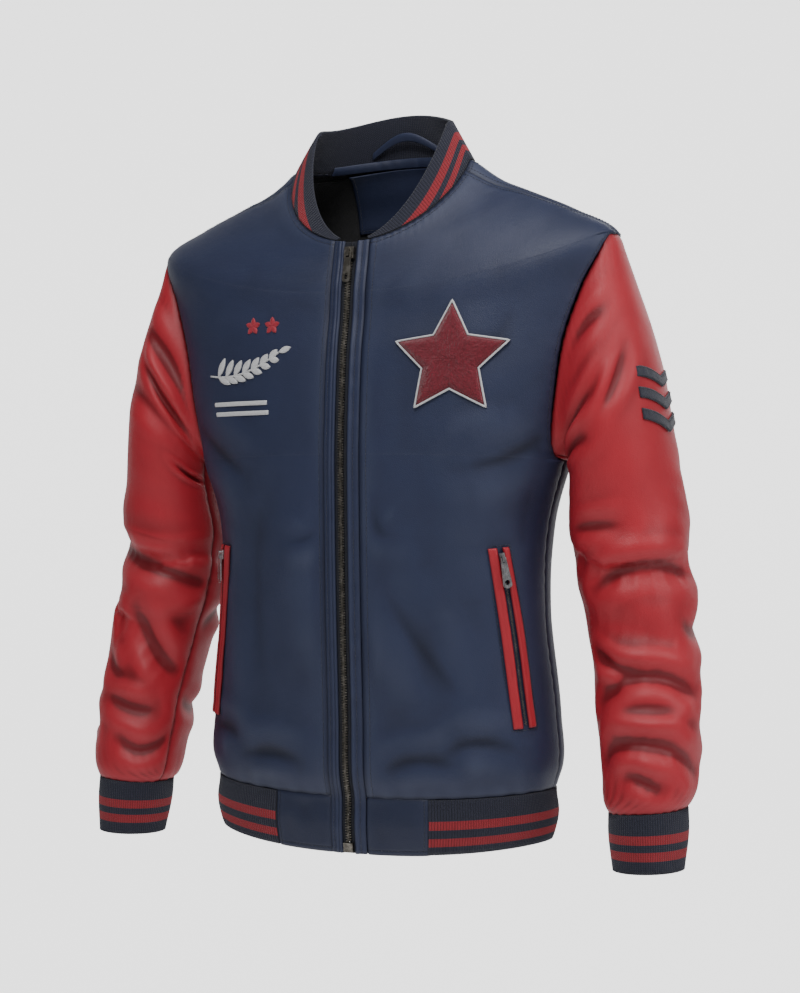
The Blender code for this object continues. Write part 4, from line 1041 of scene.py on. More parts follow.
def along_column_edge(grid, lift, inset, last, rows=None, above=0.0001):
    """A stitch line down a grid, set in from its first or last column."""
    near, far, _, _ = edge_distances(grid)
    distance = far[:, ::-1] if last else near
    columns = np.array([np.interp(inset, distance[row], np.arange(grid.shape[1]))
                        for row in range(grid.shape[0])])
    if last:
        columns = grid.shape[1] - 1 - columns
    rows = np.arange(grid.shape[0]) if rows is None else rows
    return on_grid(grid, lift, rows.astype(float), columns[rows], above)


def along_row_edge(grid, lift, inset, last, columns=None, above=0.0001):
    """A stitch line across a grid, set in from its first or last row."""
    _, _, low, high = edge_distances(grid)
    distance = high[::-1] if last else low
    rows = np.array([np.interp(inset, distance[:, column], np.arange(grid.shape[0]))
                     for column in range(grid.shape[1])])
    if last:
        rows = grid.shape[0] - 1 - rows
    columns = np.arange(grid.shape[1]) if columns is None else columns
    return on_grid(grid, lift, rows[columns], columns.astype(float), above)


def flipped(paths):
    """Stitch lines carried over to the wearer's right."""
    mirror = np.array([-1.0, 1.0, 1.0])
    return [(line * mirror, out * mirror) for line, out in paths]


def body(looks):
    leather_looks = (looks["blue_leather"], looks["lining"])
    grid = front_grid()
    levels = fine_levels()
    armpit_up = np.flatnonzero(levels >= ARMPIT)
    for side, table, seed in (("left", FRONT_LEFT_CREASES, 11), ("right", FRONT_RIGHT_CREASES, 23)):
        lift, seam = panel_lift(grid, table, seed)
        lift += pocket_hollow(grid)
        paths = [along_column_edge(grid, lift, 0.0042, True, armpit_up),
                 along_row_edge(grid, lift, 0.0038, True),
                 along_column_edge(grid, lift, 0.0040 if side == "right" else 0.0070, False)]
        shown = grid
        if side == "right":
            shown = mirrored(grid)
            lift, seam = lift[:, ::-1], seam[:, ::-1]
            paths = flipped(paths)
        piece = sheet_piece(f"front_{side}_panel", shown, LEATHER, "blue_leather", leather_looks,
                            lift, seam=seam, allowance=BODY_ALLOWANCE)
        sewn = stitches(f"front_{side}_stitches", paths, looks["navy_thread"], "zip_tape")
        declare(piece, [f"front_{side}"], "hung", sewn)
    start = trimmed(side_edge(levels, True), levels, SEAM / 2)
    shares = np.linspace(0, 1, 90)
    turns = start[:, None] + (2 * math.pi - 2 * start)[:, None] * shares[None, :]
    grid = torso(turns, np.broadcast_to(levels[:, None], turns.shape))
    lift, seam = panel_lift(grid, BACK_CREASES, 37)
    paths = [along_column_edge(grid, lift, 0.0042, False, armpit_up),
             along_column_edge(grid, lift, 0.0042, True, armpit_up),
             along_row_edge(grid, lift, 0.0038, True)]
    piece = sheet_piece("back_panel", grid, LEATHER, "blue_leather", leather_looks, lift, seam=seam,
                        allowance=BODY_ALLOWANCE)
    sewn = stitches("back_stitches", paths, looks["navy_thread"], "zip_tape")
    declare(piece, ["back"], "hung", sewn)


def pocket_hollow(grid):
    """The front sinks a little round its pocket, where the welts are let in."""
    x, z = grid[..., 0], grid[..., 2]
    line = POCKET_BOTTOM - POCKET_TOP
    share = ((x - POCKET_TOP.x) * line.x + (z - POCKET_TOP.y) * line.y) / line.length_squared
    share = np.clip(share, 0, 1)
    away = np.hypot(x - POCKET_TOP.x - line.x * share, z - POCKET_TOP.y - line.y * share)
    return -0.0004 * np.exp(-((away / 0.011) ** 4))


def inner_neck(looks):
    """The fleece behind the back, its facing, the binding over the neck seam and the loop."""
    levels = np.linspace(SHOULDER_TIP - LINING_DEPTH + 0.02, NECK_SEAM - 0.014, 44)
    edge = side_edge(levels, True)
    shares = np.linspace(0.16, 0.84, 60)
    turns = edge[:, None] + (2 * math.pi - 2 * edge)[:, None] * shares[None, :]
    place = np.broadcast_to(levels[:, None], turns.shape)
    grid = raised(torso, turns, place, -(LEATHER + LINING_GAP))
    lift = 0.0005 * ripple(grid[..., 0] / 0.020, grid[..., 2] / 0.024, 5)
    piece = sheet_piece("back_lining_fleece", grid, LINING, "lining", (looks["lining"],), lift)
    declare(piece, ["back_lining"], "hung")
    levels = np.linspace(FACING_FOOT, FACING_TOP, 60)[:, None]
    across = np.linspace(1, -1, 64)[None, :]
    turns = math.pi - np.sign(across) * turn_at(np.abs(across) * FACING_HALF, levels)
    place = np.broadcast_to(levels, turns.shape)
    depth = LEATHER + LINING_GAP + LINING + LAID_ON + 2 * FLATS
    grid = raised(torso, turns, place, -depth)
    near, far, low, high = edge_distances(grid)
    rim = np.minimum(np.minimum(near, far), low)
    lift = -unevenness(grid[..., 0], grid[..., 2], 8, 0.0004) - turned_in(rim, 0.0006, 0.0018)
    lift -= stitched_in(rim, 0.0034, 0.0004)
    # Its seam mask paints shade along the facing's edges
    piece = sheet_piece("back_facing_leather", grid, BINDING, "blue_leather",
                        (looks["blue_leather"],), lift, seam=np.exp(-rim / 0.0014))
    inward = -(BINDING + 0.0003)
    paths = [along_column_edge(grid, lift, 0.0034, False, above=inward),
             along_column_edge(grid, lift, 0.0034, True, above=inward),
             along_row_edge(grid, lift, 0.0034, False, above=inward)]
    paths = [(line, -out) for line, out in paths]
    sewn = stitches("back_facing_stitches", paths, looks["navy_thread"], "zip_tape")
    declare(piece, ["back_facing"], "hung", sewn)
    inner = RIB + 2 * LAID_ON
    turns = math.pi + np.linspace(-BINDING_REACH, BINDING_REACH, 120)
    rises = np.linspace(-0.05, BINDING_RISES[-1], 12)
    place = np.broadcast_arrays(turns[None, :], rises[:, None])
    grid = raised(collar, place[0], place[1], -inner)
    roll = 0.0008 * np.sin(math.pi * np.linspace(0, 1, 12))[:, None]
    lift = -roll + 0.0002 * ripple(lengths(grid, 1) / 0.006, rises[:, None] * 0, 3)
    piece = sheet_piece("neck_binding_roll", grid, BINDING, "blue_leather",
                        (looks["blue_leather"],), lift)
    declare(piece, ["neck_binding"], "stretched")
    ends = np.linspace(-1, 1, 60)
    bow = 1 - ends**2
    turns = math.pi + ends * LOOP_REACH
    low, high = [end + more * bow for end, more in (LOOP_LOWER, LOOP_UPPER)]
    shares = np.linspace(0, 1, 9)[:, None]
    rises = low[None, :] + (high - low)[None, :] * shares
    place = np.broadcast_arrays(turns[None, :], rises)
    grid = raised(collar, place[0], place[1], -(inner + LOOP_BOW * bow))
    lift = -0.0006 * np.sin(math.pi * shares) * np.ones_like(rises)
    piece = sheet_piece("hanger_loop_strip", grid, BINDING, "blue_leather",
                        (looks["blue_leather"],), lift)
    declare(piece, ["hanger_loop"], "hung")


# ---------------------------------------------------------------- the front opening

def down_the_front(columns, out, levels):
    """A grid down the front opening: a column for each distance from the middle."""
    return np.stack([raised(torso, turn_at(np.full(len(levels), x), levels), levels, out)
                     for x in columns], 1)


def middle_line(z, out):
    """Points above the middle of the front at the given heights."""
    level = np.interp(z, [row[1] for row in BODY], [row[0] for row in BODY])
    for _ in range(12):
        level = level + (z - torso(np.zeros_like(level), level)[..., 2])
    return raised(torso, np.full_like(level, 1e-3), level, out) * np.array([0.0, 1.0, 1.0])


def opening(looks):
    """Placket strips with two piped rolls, zip tapes and the stitches down them."""
    levels = np.linspace(HEM_BOTTOM, NECK_SEAM - SEAM, 220)
    columns = np.linspace(TAPE_HALF + SEAM, PLACKET_EDGE - SEAM / 2, 24)
    for side, seed in (("left", 61), ("right", 67)):
        grid = down_the_front(columns, PLACKET_OUT, levels)
        near, far, _, _ = edge_distances(grid)
        if side == "right":
            rolls = 0.0009 * np.abs(np.sin(math.pi * np.clip(near, 0, 0.0072) / 0.0036)) ** 0.8
        else:
            rolls = 0.0011 * np.exp(-(((near - 0.0026) / 0.0019) ** 2)) - 0.0002 * smooth(near / 0.008)
        lift = rolls + turned_in(near, 0.0008, 0.0009) + turned_in(far, 0.0008, 0.0012)
        lift += 0.0003 * ripple(lengths(grid, 0) / 0.011, near / 0.02, seed) * smooth(near / 0.004)
        # Painted shade along both edges of the strip
        seam = np.exp(-np.minimum(near, far) / 0.0010)
        paths = [along_column_edge(grid, lift, 0.0088 if side == "right" else 0.0068, False)]
        tape = down_the_front(np.linspace(0.0003, TAPE_HALF + TAPE_UNDER, 10), TAPE_OUT, levels)
        if side == "right":
            grid, tape = mirrored(grid), mirrored(tape)
            lift, seam = lift[:, ::-1], seam[:, ::-1]
            paths = flipped(paths)
        piece = sheet_piece(f"placket_{side}_strip", grid, PLACKET_WALL, "blue_leather",
                            (looks["blue_leather"], looks["lining"]), lift, seam=seam)
        sewn = stitches(f"placket_{side}_stitches", paths, looks["navy_thread"], "zip_tape")
        declare(piece, [f"placket_{side}"], "hung", sewn)
        piece = sheet_piece(f"zip_tape_{side}_weave", tape, TAPE, "zip_tape", (looks["zip_tape"],))
        declare(piece, [f"zip_tape_{side}"], "hung")


def tooth_shape(name, size):
    """Corners and faces of one rounded zip tooth."""
    bpy.ops.object.select_all(action="DESELECT")
    bpy.ops.mesh.primitive_cube_add(size=1.0)
    tooth = bpy.context.object
    tooth.name = name
    tooth.scale = size
    bpy.ops.object.transform_apply(location=False, rotation=False, scale=True)
    rounding = tooth.modifiers.new("Rounding", "BEVEL")
    rounding.width = 0.28 * min(size)
    rounding.segments = 1
    bpy.ops.object.modifier_apply(modifier="Rounding")
    points = np.array([vertex.co[:] for vertex in tooth.data.vertices])
    faces = [tuple(face.vertices) for face in tooth.data.polygons]
    bpy.data.objects.remove(tooth)
    return points, faces


def row_of_teeth(name, line, out, pitch, size, sideways, look, node_name):
    """Two interlocked rows of teeth down a line, each row set off to its side."""
    shape, shape_faces = tooth_shape(name + "_tooth", size)
    run = lengths(line[None], 1)[0]
    points, faces = [], []
    for number in range(int(run[-1] / pitch)):
        mark = (number + 0.5) * pitch
        spot, ahead = [np.array([np.interp(place, run, line[:, axis]) for axis in range(3)])
                       for place in (mark, mark + 0.001)]
        ahead = (ahead - spot) / np.linalg.norm(ahead - spot)
        away = np.array([np.interp(mark, run, out[:, axis]) for axis in range(3)])
        across = np.cross(ahead, away)
        across /= np.linalg.norm(across)
        away = np.cross(across, ahead)
        middle = spot + across * sideways * (1 if number % 2 else -1)
        first = len(points)
        for x, y, z in shape:
            points.append(middle + across * x + ahead * y + away * z)
        faces += [tuple(first + corner for corner in face) for face in shape_faces]
    mesh = bpy.data.meshes.new(name)
    mesh.from_pydata(np.array(points).tolist(), [], faces)
    shape = bmesh.new()
    shape.from_mesh(mesh)
    bmesh.ops.recalc_face_normals(shape, faces=shape.faces)
    shape.to_mesh(mesh)
    shape.free()
    piece = link(name, mesh, "gunmetal", look)
    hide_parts(node_name)
    return piece


def zips(looks):
    heights = np.linspace(ZIP_BOTTOM + CHAIN_ABOVE_FOOT, ZIP_TOP - CHAIN_BELOW_TOP, 400)
    line = middle_line(heights, CHAIN_OUT - CHAIN_WALL / 2)
    ahead = np.gradient(line, axis=0)
    out = np.cross(np.array([1.0, 0.0, 0.0]), ahead)
    out /= np.linalg.norm(out, axis=-1, keepdims=True)
    row_of_teeth("main_zip_teeth", line, out, MAIN_TOOTH_PITCH, (0.0040, 0.00105, 0.0024), 0.0009,
                 looks["gunmetal"], "zip_chain")
    shares = np.linspace(0.11, 0.985, 200)
    middle = pocket_line(shares, 0.0, POCKET_ZIP_OUT - POCKET_ZIP_WALL / 2)
    out = pocket_line(shares, 0.0, POCKET_ZIP_OUT) - middle
    out /= np.linalg.norm(out, axis=-1, keepdims=True)
    for side, mirror in (("left", 1.0), ("right", -1.0)):
        flip = np.array([mirror, 1.0, 1.0])
        row_of_teeth(f"pocket_{side}_teeth", middle * flip, out * flip, 0.0012,
                     (0.0018, 0.0008, 0.0010), 0.0004, looks["gunmetal"], f"pocket_{side}_zip")
    for name in ("zip_slider", "zip_pull", "zip_end_box"):
        soften(name, 0.00045, looks["gunmetal"])
    for side in ("left", "right"):
        for part in ("slider", "pull"):
            soften(f"pocket_{side}_{part}", 0.00030, looks["silver_metal"])


def soften(name, width, look):
    """Round a hard solid's edges and give it its metal."""
    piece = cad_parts[name]
    piece.data.materials.clear()
    piece.data.materials.append(look)
    rounding = piece.modifiers.new("Rounding", "BEVEL")
    rounding.width = width
    rounding.segments = 3
    rounding.limit_method = "ANGLE"
    rounding.angle_limit = math.radians(40)
    rounding.harden_normals = True
    piece.data.shade_smooth()


# ---------------------------------------------------------------- pockets

def pocket_line(share, side, out):
    """A point on the pocket's slanted line, set off to its side."""
    share = np.asarray(share, float)
    line = POCKET_BOTTOM - POCKET_TOP
    square = Vector((line.y, -line.x)).normalized() * -1
    x = POCKET_TOP.x + line.x * share + square.x * side
    z = POCKET_TOP.y + line.y * share + square.y * side
    return front_point(x, z, out)


def pockets(looks):
    """Red welts with wavy inner edges, and the box of stitches round them."""
    shares = np.linspace(0, 1, 110)
    gap = POCKET_ZIP_WIDTH / 2
    for side, seed in (("left", 3), ("right", 9)):
        for name, near, far in (("welt_front", -(gap + WELT_FRONT), -gap - SEAM),
                                ("welt_back", gap + SEAM, gap + WELT_BACK)):
            grid = np.stack([pocket_line(shares, place, WELT_OUT)
                             for place in np.linspace(near, far, 13)], 1)[::-1]
            first, last, low, high = edge_distances(grid)
            inner, outer = (last, first) if name == "welt_front" else (first, last)
            lift = 0.0006 * np.exp(-(((inner - 0.0022) / 0.0018) ** 2))
            lift += turned_in(inner, 0.0010, 0.0008) + turned_in(outer, 0.0008, 0.0010)
            lift += turned_in(low, 0.0008, 0.0012) + turned_in(high, 0.0008, 0.0012)
            lift += 0.00035 * ripple(low / 0.013, inner / 0.004, seed)
            # Painted shade along the welt's long edges
            seam = np.exp(-np.minimum(inner, outer) / 0.0010)
            shown = grid
            if side == "right":
                shown, lift, seam = mirrored(grid), lift[:, ::-1], seam[:, ::-1]
            piece = sheet_piece(f"pocket_{side}_{name}_leather", shown, WELT_WALL, "red_leather",
                                (looks["red_leather"],), lift, seam=seam)
            declare(piece, [f"pocket_{side}_{name}"], "stretched")
        front_edge, back_edge = -(gap + WELT_FRONT + 0.0012), gap + WELT_BACK + 0.0012
        paths = []
        for place in (front_edge, back_edge):
            line = pocket_line(np.linspace(-0.012, 1.012, 120), place, 0.0003)
            out = pocket_line(np.linspace(-0.012, 1.012, 120), place, 0.0013) - line
            paths.append((line, out))
        for share in (-0.010, 1.010):
            across = np.linspace(front_edge, back_edge, 20)
            line = np.stack([pocket_line(share, place, 0.0003) for place in across])
            out = np.stack([pocket_line(share, place, 0.0013) for place in across]) - line
            paths.append((line, out))
        paths = [(line, out / np.linalg.norm(out, axis=-1, keepdims=True)) for line, out in paths]
        if side == "right":
            paths = flipped(paths)
        stitches(f"pocket_{side}_stitches", paths, looks["navy_thread"], "zip_tape", 0.0028, 0.0019)


# ---------------------------------------------------------------- sleeves

def sleeves(looks):
    back_seam = BACK_SLEEVE_SEAM - 2 * math.pi
    close = SEAM / GIRTH_RADIUS
    marks = np.concatenate([np.linspace(0, 0.041, 18)[:-1], np.linspace(0.041, SLEEVE_LENGTH - SEAM, 226)])
    for side, folds, table, seed in (("left", LEFT_FOLDS, LEFT_CREASES, 41),
                                     ("right", RIGHT_FOLDS, RIGHT_CREASES, 53)):
        for name, first, last, count in (
                ("top", back_seam + close, FRONT_SLEEVE_SEAM - close, 122),
                ("under", FRONT_SLEEVE_SEAM + close, BACK_SLEEVE_SEAM - close, 34)):
            angles = np.linspace(first, last, count)
            grid = sleeve_grid(angles, marks, folds)
            near, far, low, high = edge_distances(grid)
            round_it = angles[None, :] * GIRTH_RADIUS
            placed = [(math.radians(x0) * GIRTH_RADIUS, y0, math.radians(x1) * GIRTH_RADIUS, y1,
                       math.radians(x2) * GIRTH_RADIUS, y2, width, height)
                      for x0, y0, x1, y1, x2, y2, width, height in table]
            lift = 1.55 * blurred(creased(round_it, marks[:, None], placed), 2)
            lift = lift * smooth(low / 0.020) * smooth(high / 0.012)
            lift = lift + unevenness(round_it + 0 * low, marks[:, None] + 0 * low, seed, 0.0006)
            lift *= smooth(np.minimum(low, high) / 0.006)
            lift *= 0.35 + 0.65 * smooth(np.minimum(near, far) / 0.010)
            lift += puckered(high, near, seed + 5, 0.0012, 0.014, 0.0100)
            lift += puckered(low, near, seed + 6, 0.0006, 0.010, 0.0110)
            lift += puckered(np.minimum(near, far), low, seed + 8, 0.0004, 0.006, 0.0120)
            for distance in (near, far, high):
                lift += turned_in(distance, 0.0009, 0.0018)
            lift += turned_in(low, 0.0008, 0.0016)
            # Painted shade near every edge of the sleeve piece
            seam = np.exp(-np.minimum(np.minimum(near, far), np.minimum(low, high)) / 0.0015)
            if side == "right":
                grid, lift, seam = mirrored(grid), lift[:, ::-1], seam[:, ::-1]
            piece = sheet_piece(f"sleeve_{side}_{name}_leather", grid, LEATHER, "red_leather",
                                (looks["red_leather"], looks["lining"]), lift, seam=seam,
                                allowance=SLEEVE_ALLOWANCE, eased=4)
            declare(piece, [f"sleeve_{side}_{name}"], "hung")


# ---------------------------------------------------------------- rib knit

def ribbed(grid, rows_down, name, wall, look, pitch=None, closed=False, fade=None):
    """A rib-knit piece: the grid's columns are RIB_COLUMNS to a rib."""
    rows, columns = grid.shape[:2]
    share = (np.arange(columns) % RIB_COLUMNS) / RIB_COLUMNS
    rib = RIB_HEIGHT * (0.5 - 0.5 * np.cos(2 * math.pi * share)) ** 0.7
    lift = (rib - RIB_HEIGHT)[None, :] * (np.ones((rows, 1)) if fade is None else fade)
    across = np.arange(columns) * RIB_PITCH / RIB_COLUMNS
    uv = np.stack(np.broadcast_arrays(across[None, :], rows_down), -1)
    return sheet_piece(name, grid, wall, "rib_knit", (look,), lift, uv=uv, closed=closed,
                       crest_gain=0.0, smooth_back=True)


def rib_columns(length, closed=False):
    """How many columns a band of this length needs, and how they start and end between ribs."""
    ribs = round(length / RIB_PITCH)
    return ribs * RIB_COLUMNS + (0 if closed else 1)


def bands(looks):
    start = float(turn_at(np.array(HEM_TAB_END + SEAM), np.array(-0.025)))
    count = rib_columns(0.700)
    turns = np.linspace(start, 2 * math.pi - start, count)
    shares = np.linspace(0, 1, 12)
    levels = HEM_BOTTOM + (HEM_SEAM - SEAM - HEM_BOTTOM) * shares
    grid = torso(*np.broadcast_arrays(turns[None, :], levels[:, None]))
    swell = 0.0011 * np.sin(math.pi * shares)[:, None]
    grid = grid + normals(grid) * (swell - 0.0006 * np.exp(-shares / 0.04)[:, None])[..., None]
    down = (1 - shares)[:, None] * BAND_DEPTH
    piece = ribbed(grid, down, "hem_rib_knit", RIB, looks["hem_knit"])
    declare(piece, ["hem_rib"], "stretched")
    for side in ("left", "right"):
        count = rib_columns(0.232, closed=True)
        around = np.linspace(0, 2 * math.pi, count, endpoint=False)
        shares = np.linspace(0, 1, 13)
        drops = SEAM + (0.055 - SEAM) * shares
        grid = cuff_grid(around, drops)
        if side == "right":
            grid = mirrored(grid)
        piece = ribbed(grid, shares[:, None] * BAND_DEPTH, f"cuff_{side}_knit", RIB,
                       looks["cuff_knit"], closed=True)
        declare(piece, [f"cuff_{side}"], "stretched")
        hem_tab(side, start, looks)
    collar_band(looks)


def hem_tab(side, end, looks):
    """The leather end of the hem band, with stitches along its foot and outer edge."""
    levels = np.linspace(HEM_BOTTOM, HEM_SEAM - SEAM, 40)
    first = turn_at(np.full(40, PLACKET_EDGE + SEAM), levels)
    turns = first[:, None] + (end - 0.003 - first)[:, None] * np.linspace(0, 1, 44)[None, :]
    grid = torso(turns, np.broadcast_to(levels[:, None], turns.shape))
    near, far, low, high = edge_distances(grid)
    lift = unevenness(grid[..., 0], grid[..., 2], 71 if side == "left" else 73, 0.0006)
    lift += 0.0008 * ripple(grid[..., 0] / 0.016, grid[..., 2] / 0.020, 5 if side == "left" else 6)
    lift *= smooth(np.minimum(np.minimum(near, far), np.minimum(low, high)) / 0.008)
    for distance in (near, far, low, high):
        lift += turned_in(distance, 0.0008, 0.0014)
    lift += stitched_in(far, 0.0036) + stitched_in(low, 0.0040)
    # Painted shade along the edges, and over the whole tab as the light falls off towards the hem
    seam = np.exp(-np.minimum(np.minimum(near, far), np.minimum(low, high)) / 0.0013)
    seam = np.maximum(seam, TAB_PAINTED_SHADE)
    paths = [along_column_edge(grid, lift, 0.0036, True),
             along_row_edge(grid, lift, 0.0040, False)]
    if side == "right":
        grid, lift, seam, paths = mirrored(grid), lift[:, ::-1], seam[:, ::-1], flipped(paths)
    piece = sheet_piece(f"hem_tab_{side}_leather", grid, HEM_TAB_WALL, "blue_leather",
                        (looks["blue_leather"],), lift, seam=seam, allowance=TAB_ALLOWANCE)
    sewn = stitches(f"hem_tab_{side}_stitches", paths, looks["navy_thread"], "zip_tape")
    declare(piece, [f"hem_tab_{side}"], "stretched", sewn)


def collar_band(looks):
    """The collar: one strip of rib knit folded over at its top edge."""
    start = float(turn_at(np.array(PLACKET_EDGE), np.array(NECK_SEAM)))
    count = rib_columns(0.470)
    turns = np.linspace(start, 2 * math.pi - start, count)
    base, top = collar(turns, np.zeros_like(turns)), collar(turns, np.ones_like(turns))
    height = np.linalg.norm(top - base, axis=-1)
    more = (COLLAR_FOOT_FRONT - COLLAR_FOOT_BACK) * np.clip(np.cos(turns), 0, 1)
    foot = (COLLAR_FOOT_BACK + more) / height
    fold = RIB / 2
    rises = foot[None, :] + (1 - fold / height - foot)[None, :] * np.linspace(0, 1, 11)[:, None]
    place = np.broadcast_to(turns, rises.shape)
    outer = raised(collar, place, rises, 0.0)
    down = (1 - rises) * height
    edge_rises = np.broadcast_to((1 - fold / height)[None, :], (6, count))
    bend = np.linspace(0, math.pi, 8)[1:-1][:, None]
    edge = raised(collar, np.broadcast_to(turns, edge_rises.shape), edge_rises,
                  -fold * (1 - np.cos(bend)) * np.ones_like(edge_rises))
    up = (top - base) / height[:, None]
    edge = edge + up[None] * (fold * np.sin(bend))[..., None]
    inner_rises = (1 - fold / height)[None, :] + (fold / height - 1.06)[None, :] * np.linspace(0, 1, 8)[:, None]
    inner = raised(collar, np.broadcast_to(turns, inner_rises.shape), inner_rises,
                   -RIB * np.ones_like(inner_rises))
    rounded = top.copy()
    for _ in range(COLLAR_ROUNDING):
        rounded[1:-1] = (rounded[:-2] + 2 * rounded[1:-1] + rounded[2:]) / 4
    share = np.concatenate([rises, edge_rises, inner_rises])[..., None] ** 2
    grid = np.concatenate([outer, edge, inner]) + share * (rounded - top)
    ground = np.concatenate([down, np.zeros_like(edge_rises) - 0.001, -(1 - inner_rises) * height])
    piece = ribbed(grid, ground, "collar_knit", 0.0013, looks["collar_knit"],
                   fade=np.concatenate([np.ones((11, 1)), np.full((6, 1), 0.5), np.full((8, 1), 0.6)]))
    declare(piece, ["collar"], "stretched")


# ---------------------------------------------------------------- emblems

def star_radius(angle, reach):
    """How far a five-pointed star reaches at an angle from its top point."""
    sector = math.pi / 5
    away = abs((angle + sector) % (2 * sector) - sector)
    notch = STAR_NOTCH * reach * Vector((math.cos(sector), math.sin(sector)))
    side = notch - Vector((reach, 0.0))
    return reach * side.y / (math.cos(away) * side.y - math.sin(away) * side.x)


def star_sheet(name, reach, out, wall, slot, look, node_name, rings, spokes, crown, loops):
    """A star laid on the chest, in rings of points from its edge to its middle."""
    angles = np.linspace(0, 2 * math.pi, spokes, endpoint=False)
    edge = np.array([star_radius(angle, reach) for angle in angles])
    shares = np.linspace(1.0, 0.02, rings)
    radius = shares[:, None] * edge[None, :]
    x = STAR_CENTRE[0] + radius * np.sin(angles)
    z = STAR_CENTRE[1] + radius * np.cos(angles)
    inset = (1 - shares)[:, None] * edge[None, :] * 0.55
    lift = crown * smooth(inset / 0.004) + turned_in(inset, 0.0004, 0.0008)
    lift += loops * np.abs(ripple(x / 0.0021, z / 0.0021, 17)) * smooth(inset / 0.002)
    lift += loops * 0.8 * ripple(x / 0.010, z / 0.012, 19) * smooth(inset / 0.003)
    grid = front_point(x, z, out)[:, ::1]
    out_way = front_point(x, z, out + 0.001) - grid
    points = grid + out_way / np.linalg.norm(out_way, axis=-1, keepdims=True) * lift[..., None]
    faces = []
    for ring in range(rings - 1):
        for spoke in range(spokes):
            beside = (spoke + 1) % spokes
            faces.append((ring * spokes + spoke, ring * spokes + beside,
                          (ring + 1) * spokes + beside, (ring + 1) * spokes + spoke))
    faces.append(tuple((rings - 1) * spokes + spoke for spoke in range(spokes)))
    mesh = bpy.data.meshes.new(name)
    mesh.from_pydata(points.reshape(-1, 3).tolist(), [], faces)
    mesh.shade_smooth()
    shape = bmesh.new()
    shape.from_mesh(mesh)
    bmesh.ops.recalc_face_normals(shape, faces=shape.faces)
    shape.faces.ensure_lookup_table()
    if shape.faces[0].normal.y > 0:
        bmesh.ops.reverse_faces(shape, faces=shape.faces)
    shape.to_mesh(mesh)
    shape.free()
    piece = link(name, mesh, slot, look)
    solid = piece.modifiers.new("Wall", "SOLIDIFY")
    solid.thickness = wall
    solid.offset = -1
    declare(piece, [node_name], "laid")
    return piece


def star_line(reach, out, steps=60):
    """The star's outline on the chest, with its points and notches kept sharp."""
    corners = []
    for corner in range(10):
        far = reach if corner % 2 == 0 else STAR_NOTCH * reach
        angle = math.pi / 5 * corner
        corners.append((STAR_CENTRE[0] + far * math.sin(angle), STAR_CENTRE[1] + far * math.cos(angle)))
    x, z = [], []
    for corner in range(10):
        for share in np.linspace(0, 1, steps // 10, endpoint=False):
            after = corners[(corner + 1) % 10]
            x.append(corners[corner][0] * (1 - share) + after[0] * share)
            z.append(corners[corner][1] * (1 - share) + after[1] * share)
    line = front_point(np.array(x), np.array(z), out)
    away = front_point(np.array(x), np.array(z), out + 0.001) - line
    return line, away / np.linalg.norm(away, axis=-1, keepdims=True)


def leaf(grid_x, grid_z, centre, angle, length, width):
    """A pointed leaf's place: rows along it and columns across, with its crown."""
    share = np.linspace(0, 1, 16)[:, None]
    across = np.linspace(-1, 1, 7)[None, :]
    half = width / 2 * np.sin(math.pi * share) ** 0.8
    forward = length * (share - 0.0) + 0 * across
    side = half * across
    x = centre[0] + forward * math.sin(angle) + side * math.cos(angle)
    z = centre[1] + forward * math.cos(angle) - side * math.sin(angle)
    return x, z, 0.0007 * (1 - across**2) * np.ones_like(share)


def embroidery(name, shapes, look, slot):
    """Raised satin stitch: each shape is x, z and height in metres on the wearer's right front."""
    points, faces = [], []
    for x, z, height in shapes:
        rows, columns = x.shape
        first = len(points)
        grid = front_point(-x, z, 0.0009)
        away = front_point(-x, z, 0.0019) - grid
        away /= np.linalg.norm(away, axis=-1, keepdims=True)
        slant = 0.00012 * np.sin(np.arange(rows)[:, None] * 2.6 + np.zeros((1, columns)))
        raised_points = grid + away * (height + slant)[..., None]
        for sheet in (raised_points, grid - away * 0.0014):
            points += (sheet * np.array([-1.0, 1.0, 1.0])).reshape(-1, 3).tolist()
        under = first + rows * columns
        for row in range(rows - 1):
            for column in range(columns - 1):
                here = row * columns + column
                ring = (here, here + 1, here + columns + 1, here + columns)
                faces.append(tuple(first + corner for corner in ring))
                faces.append(tuple(under + corner for corner in reversed(ring)))
        rim = ([column for column in range(columns)]
               + [row * columns + columns - 1 for row in range(1, rows)]
               + [(rows - 1) * columns + column for column in range(columns - 2, -1, -1)]
               + [row * columns for row in range(rows - 2, 0, -1)])
        for place, corner in enumerate(rim):
            after = rim[(place + 1) % len(rim)]
            faces.append((first + corner, under + corner, under + after, first + after))
    mesh = bpy.data.meshes.new(name)
    mesh.from_pydata(points, [], faces)
    mesh.shade_smooth()
    shape = bmesh.new()
    shape.from_mesh(mesh)
    bmesh.ops.recalc_face_normals(shape, faces=shape.faces)
    shape.to_mesh(mesh)
    shape.free()
    return link(name, mesh, slot, look)


def bar(x0, z0, x1, z1, width):
    """A straight bar of satin stitch."""
    run = math.hypot(x1 - x0, z1 - z0)
    count = max(4, int(run / 0.0016))
    share = np.linspace(0, 1, count)[:, None]
    across = np.linspace(-1, 1, 5)[None, :]
    ahead = ((x1 - x0) / run, (z1 - z0) / run)
    x = x0 + (x1 - x0) * share + width / 2 * across * ahead[1]
    z = z0 + (z1 - z0) * share - width / 2 * across * ahead[0]
    return x, z, 0.0006 * (1 - 0.9 * across**2) * np.ones_like(share)


def small_star(centre, reach):
    """A small five-pointed star, as five pointed leaves from its middle."""
    return [leaf(None, None, centre, 2 * math.pi * point / 5, reach, reach * 0.62)
            for point in range(5)]


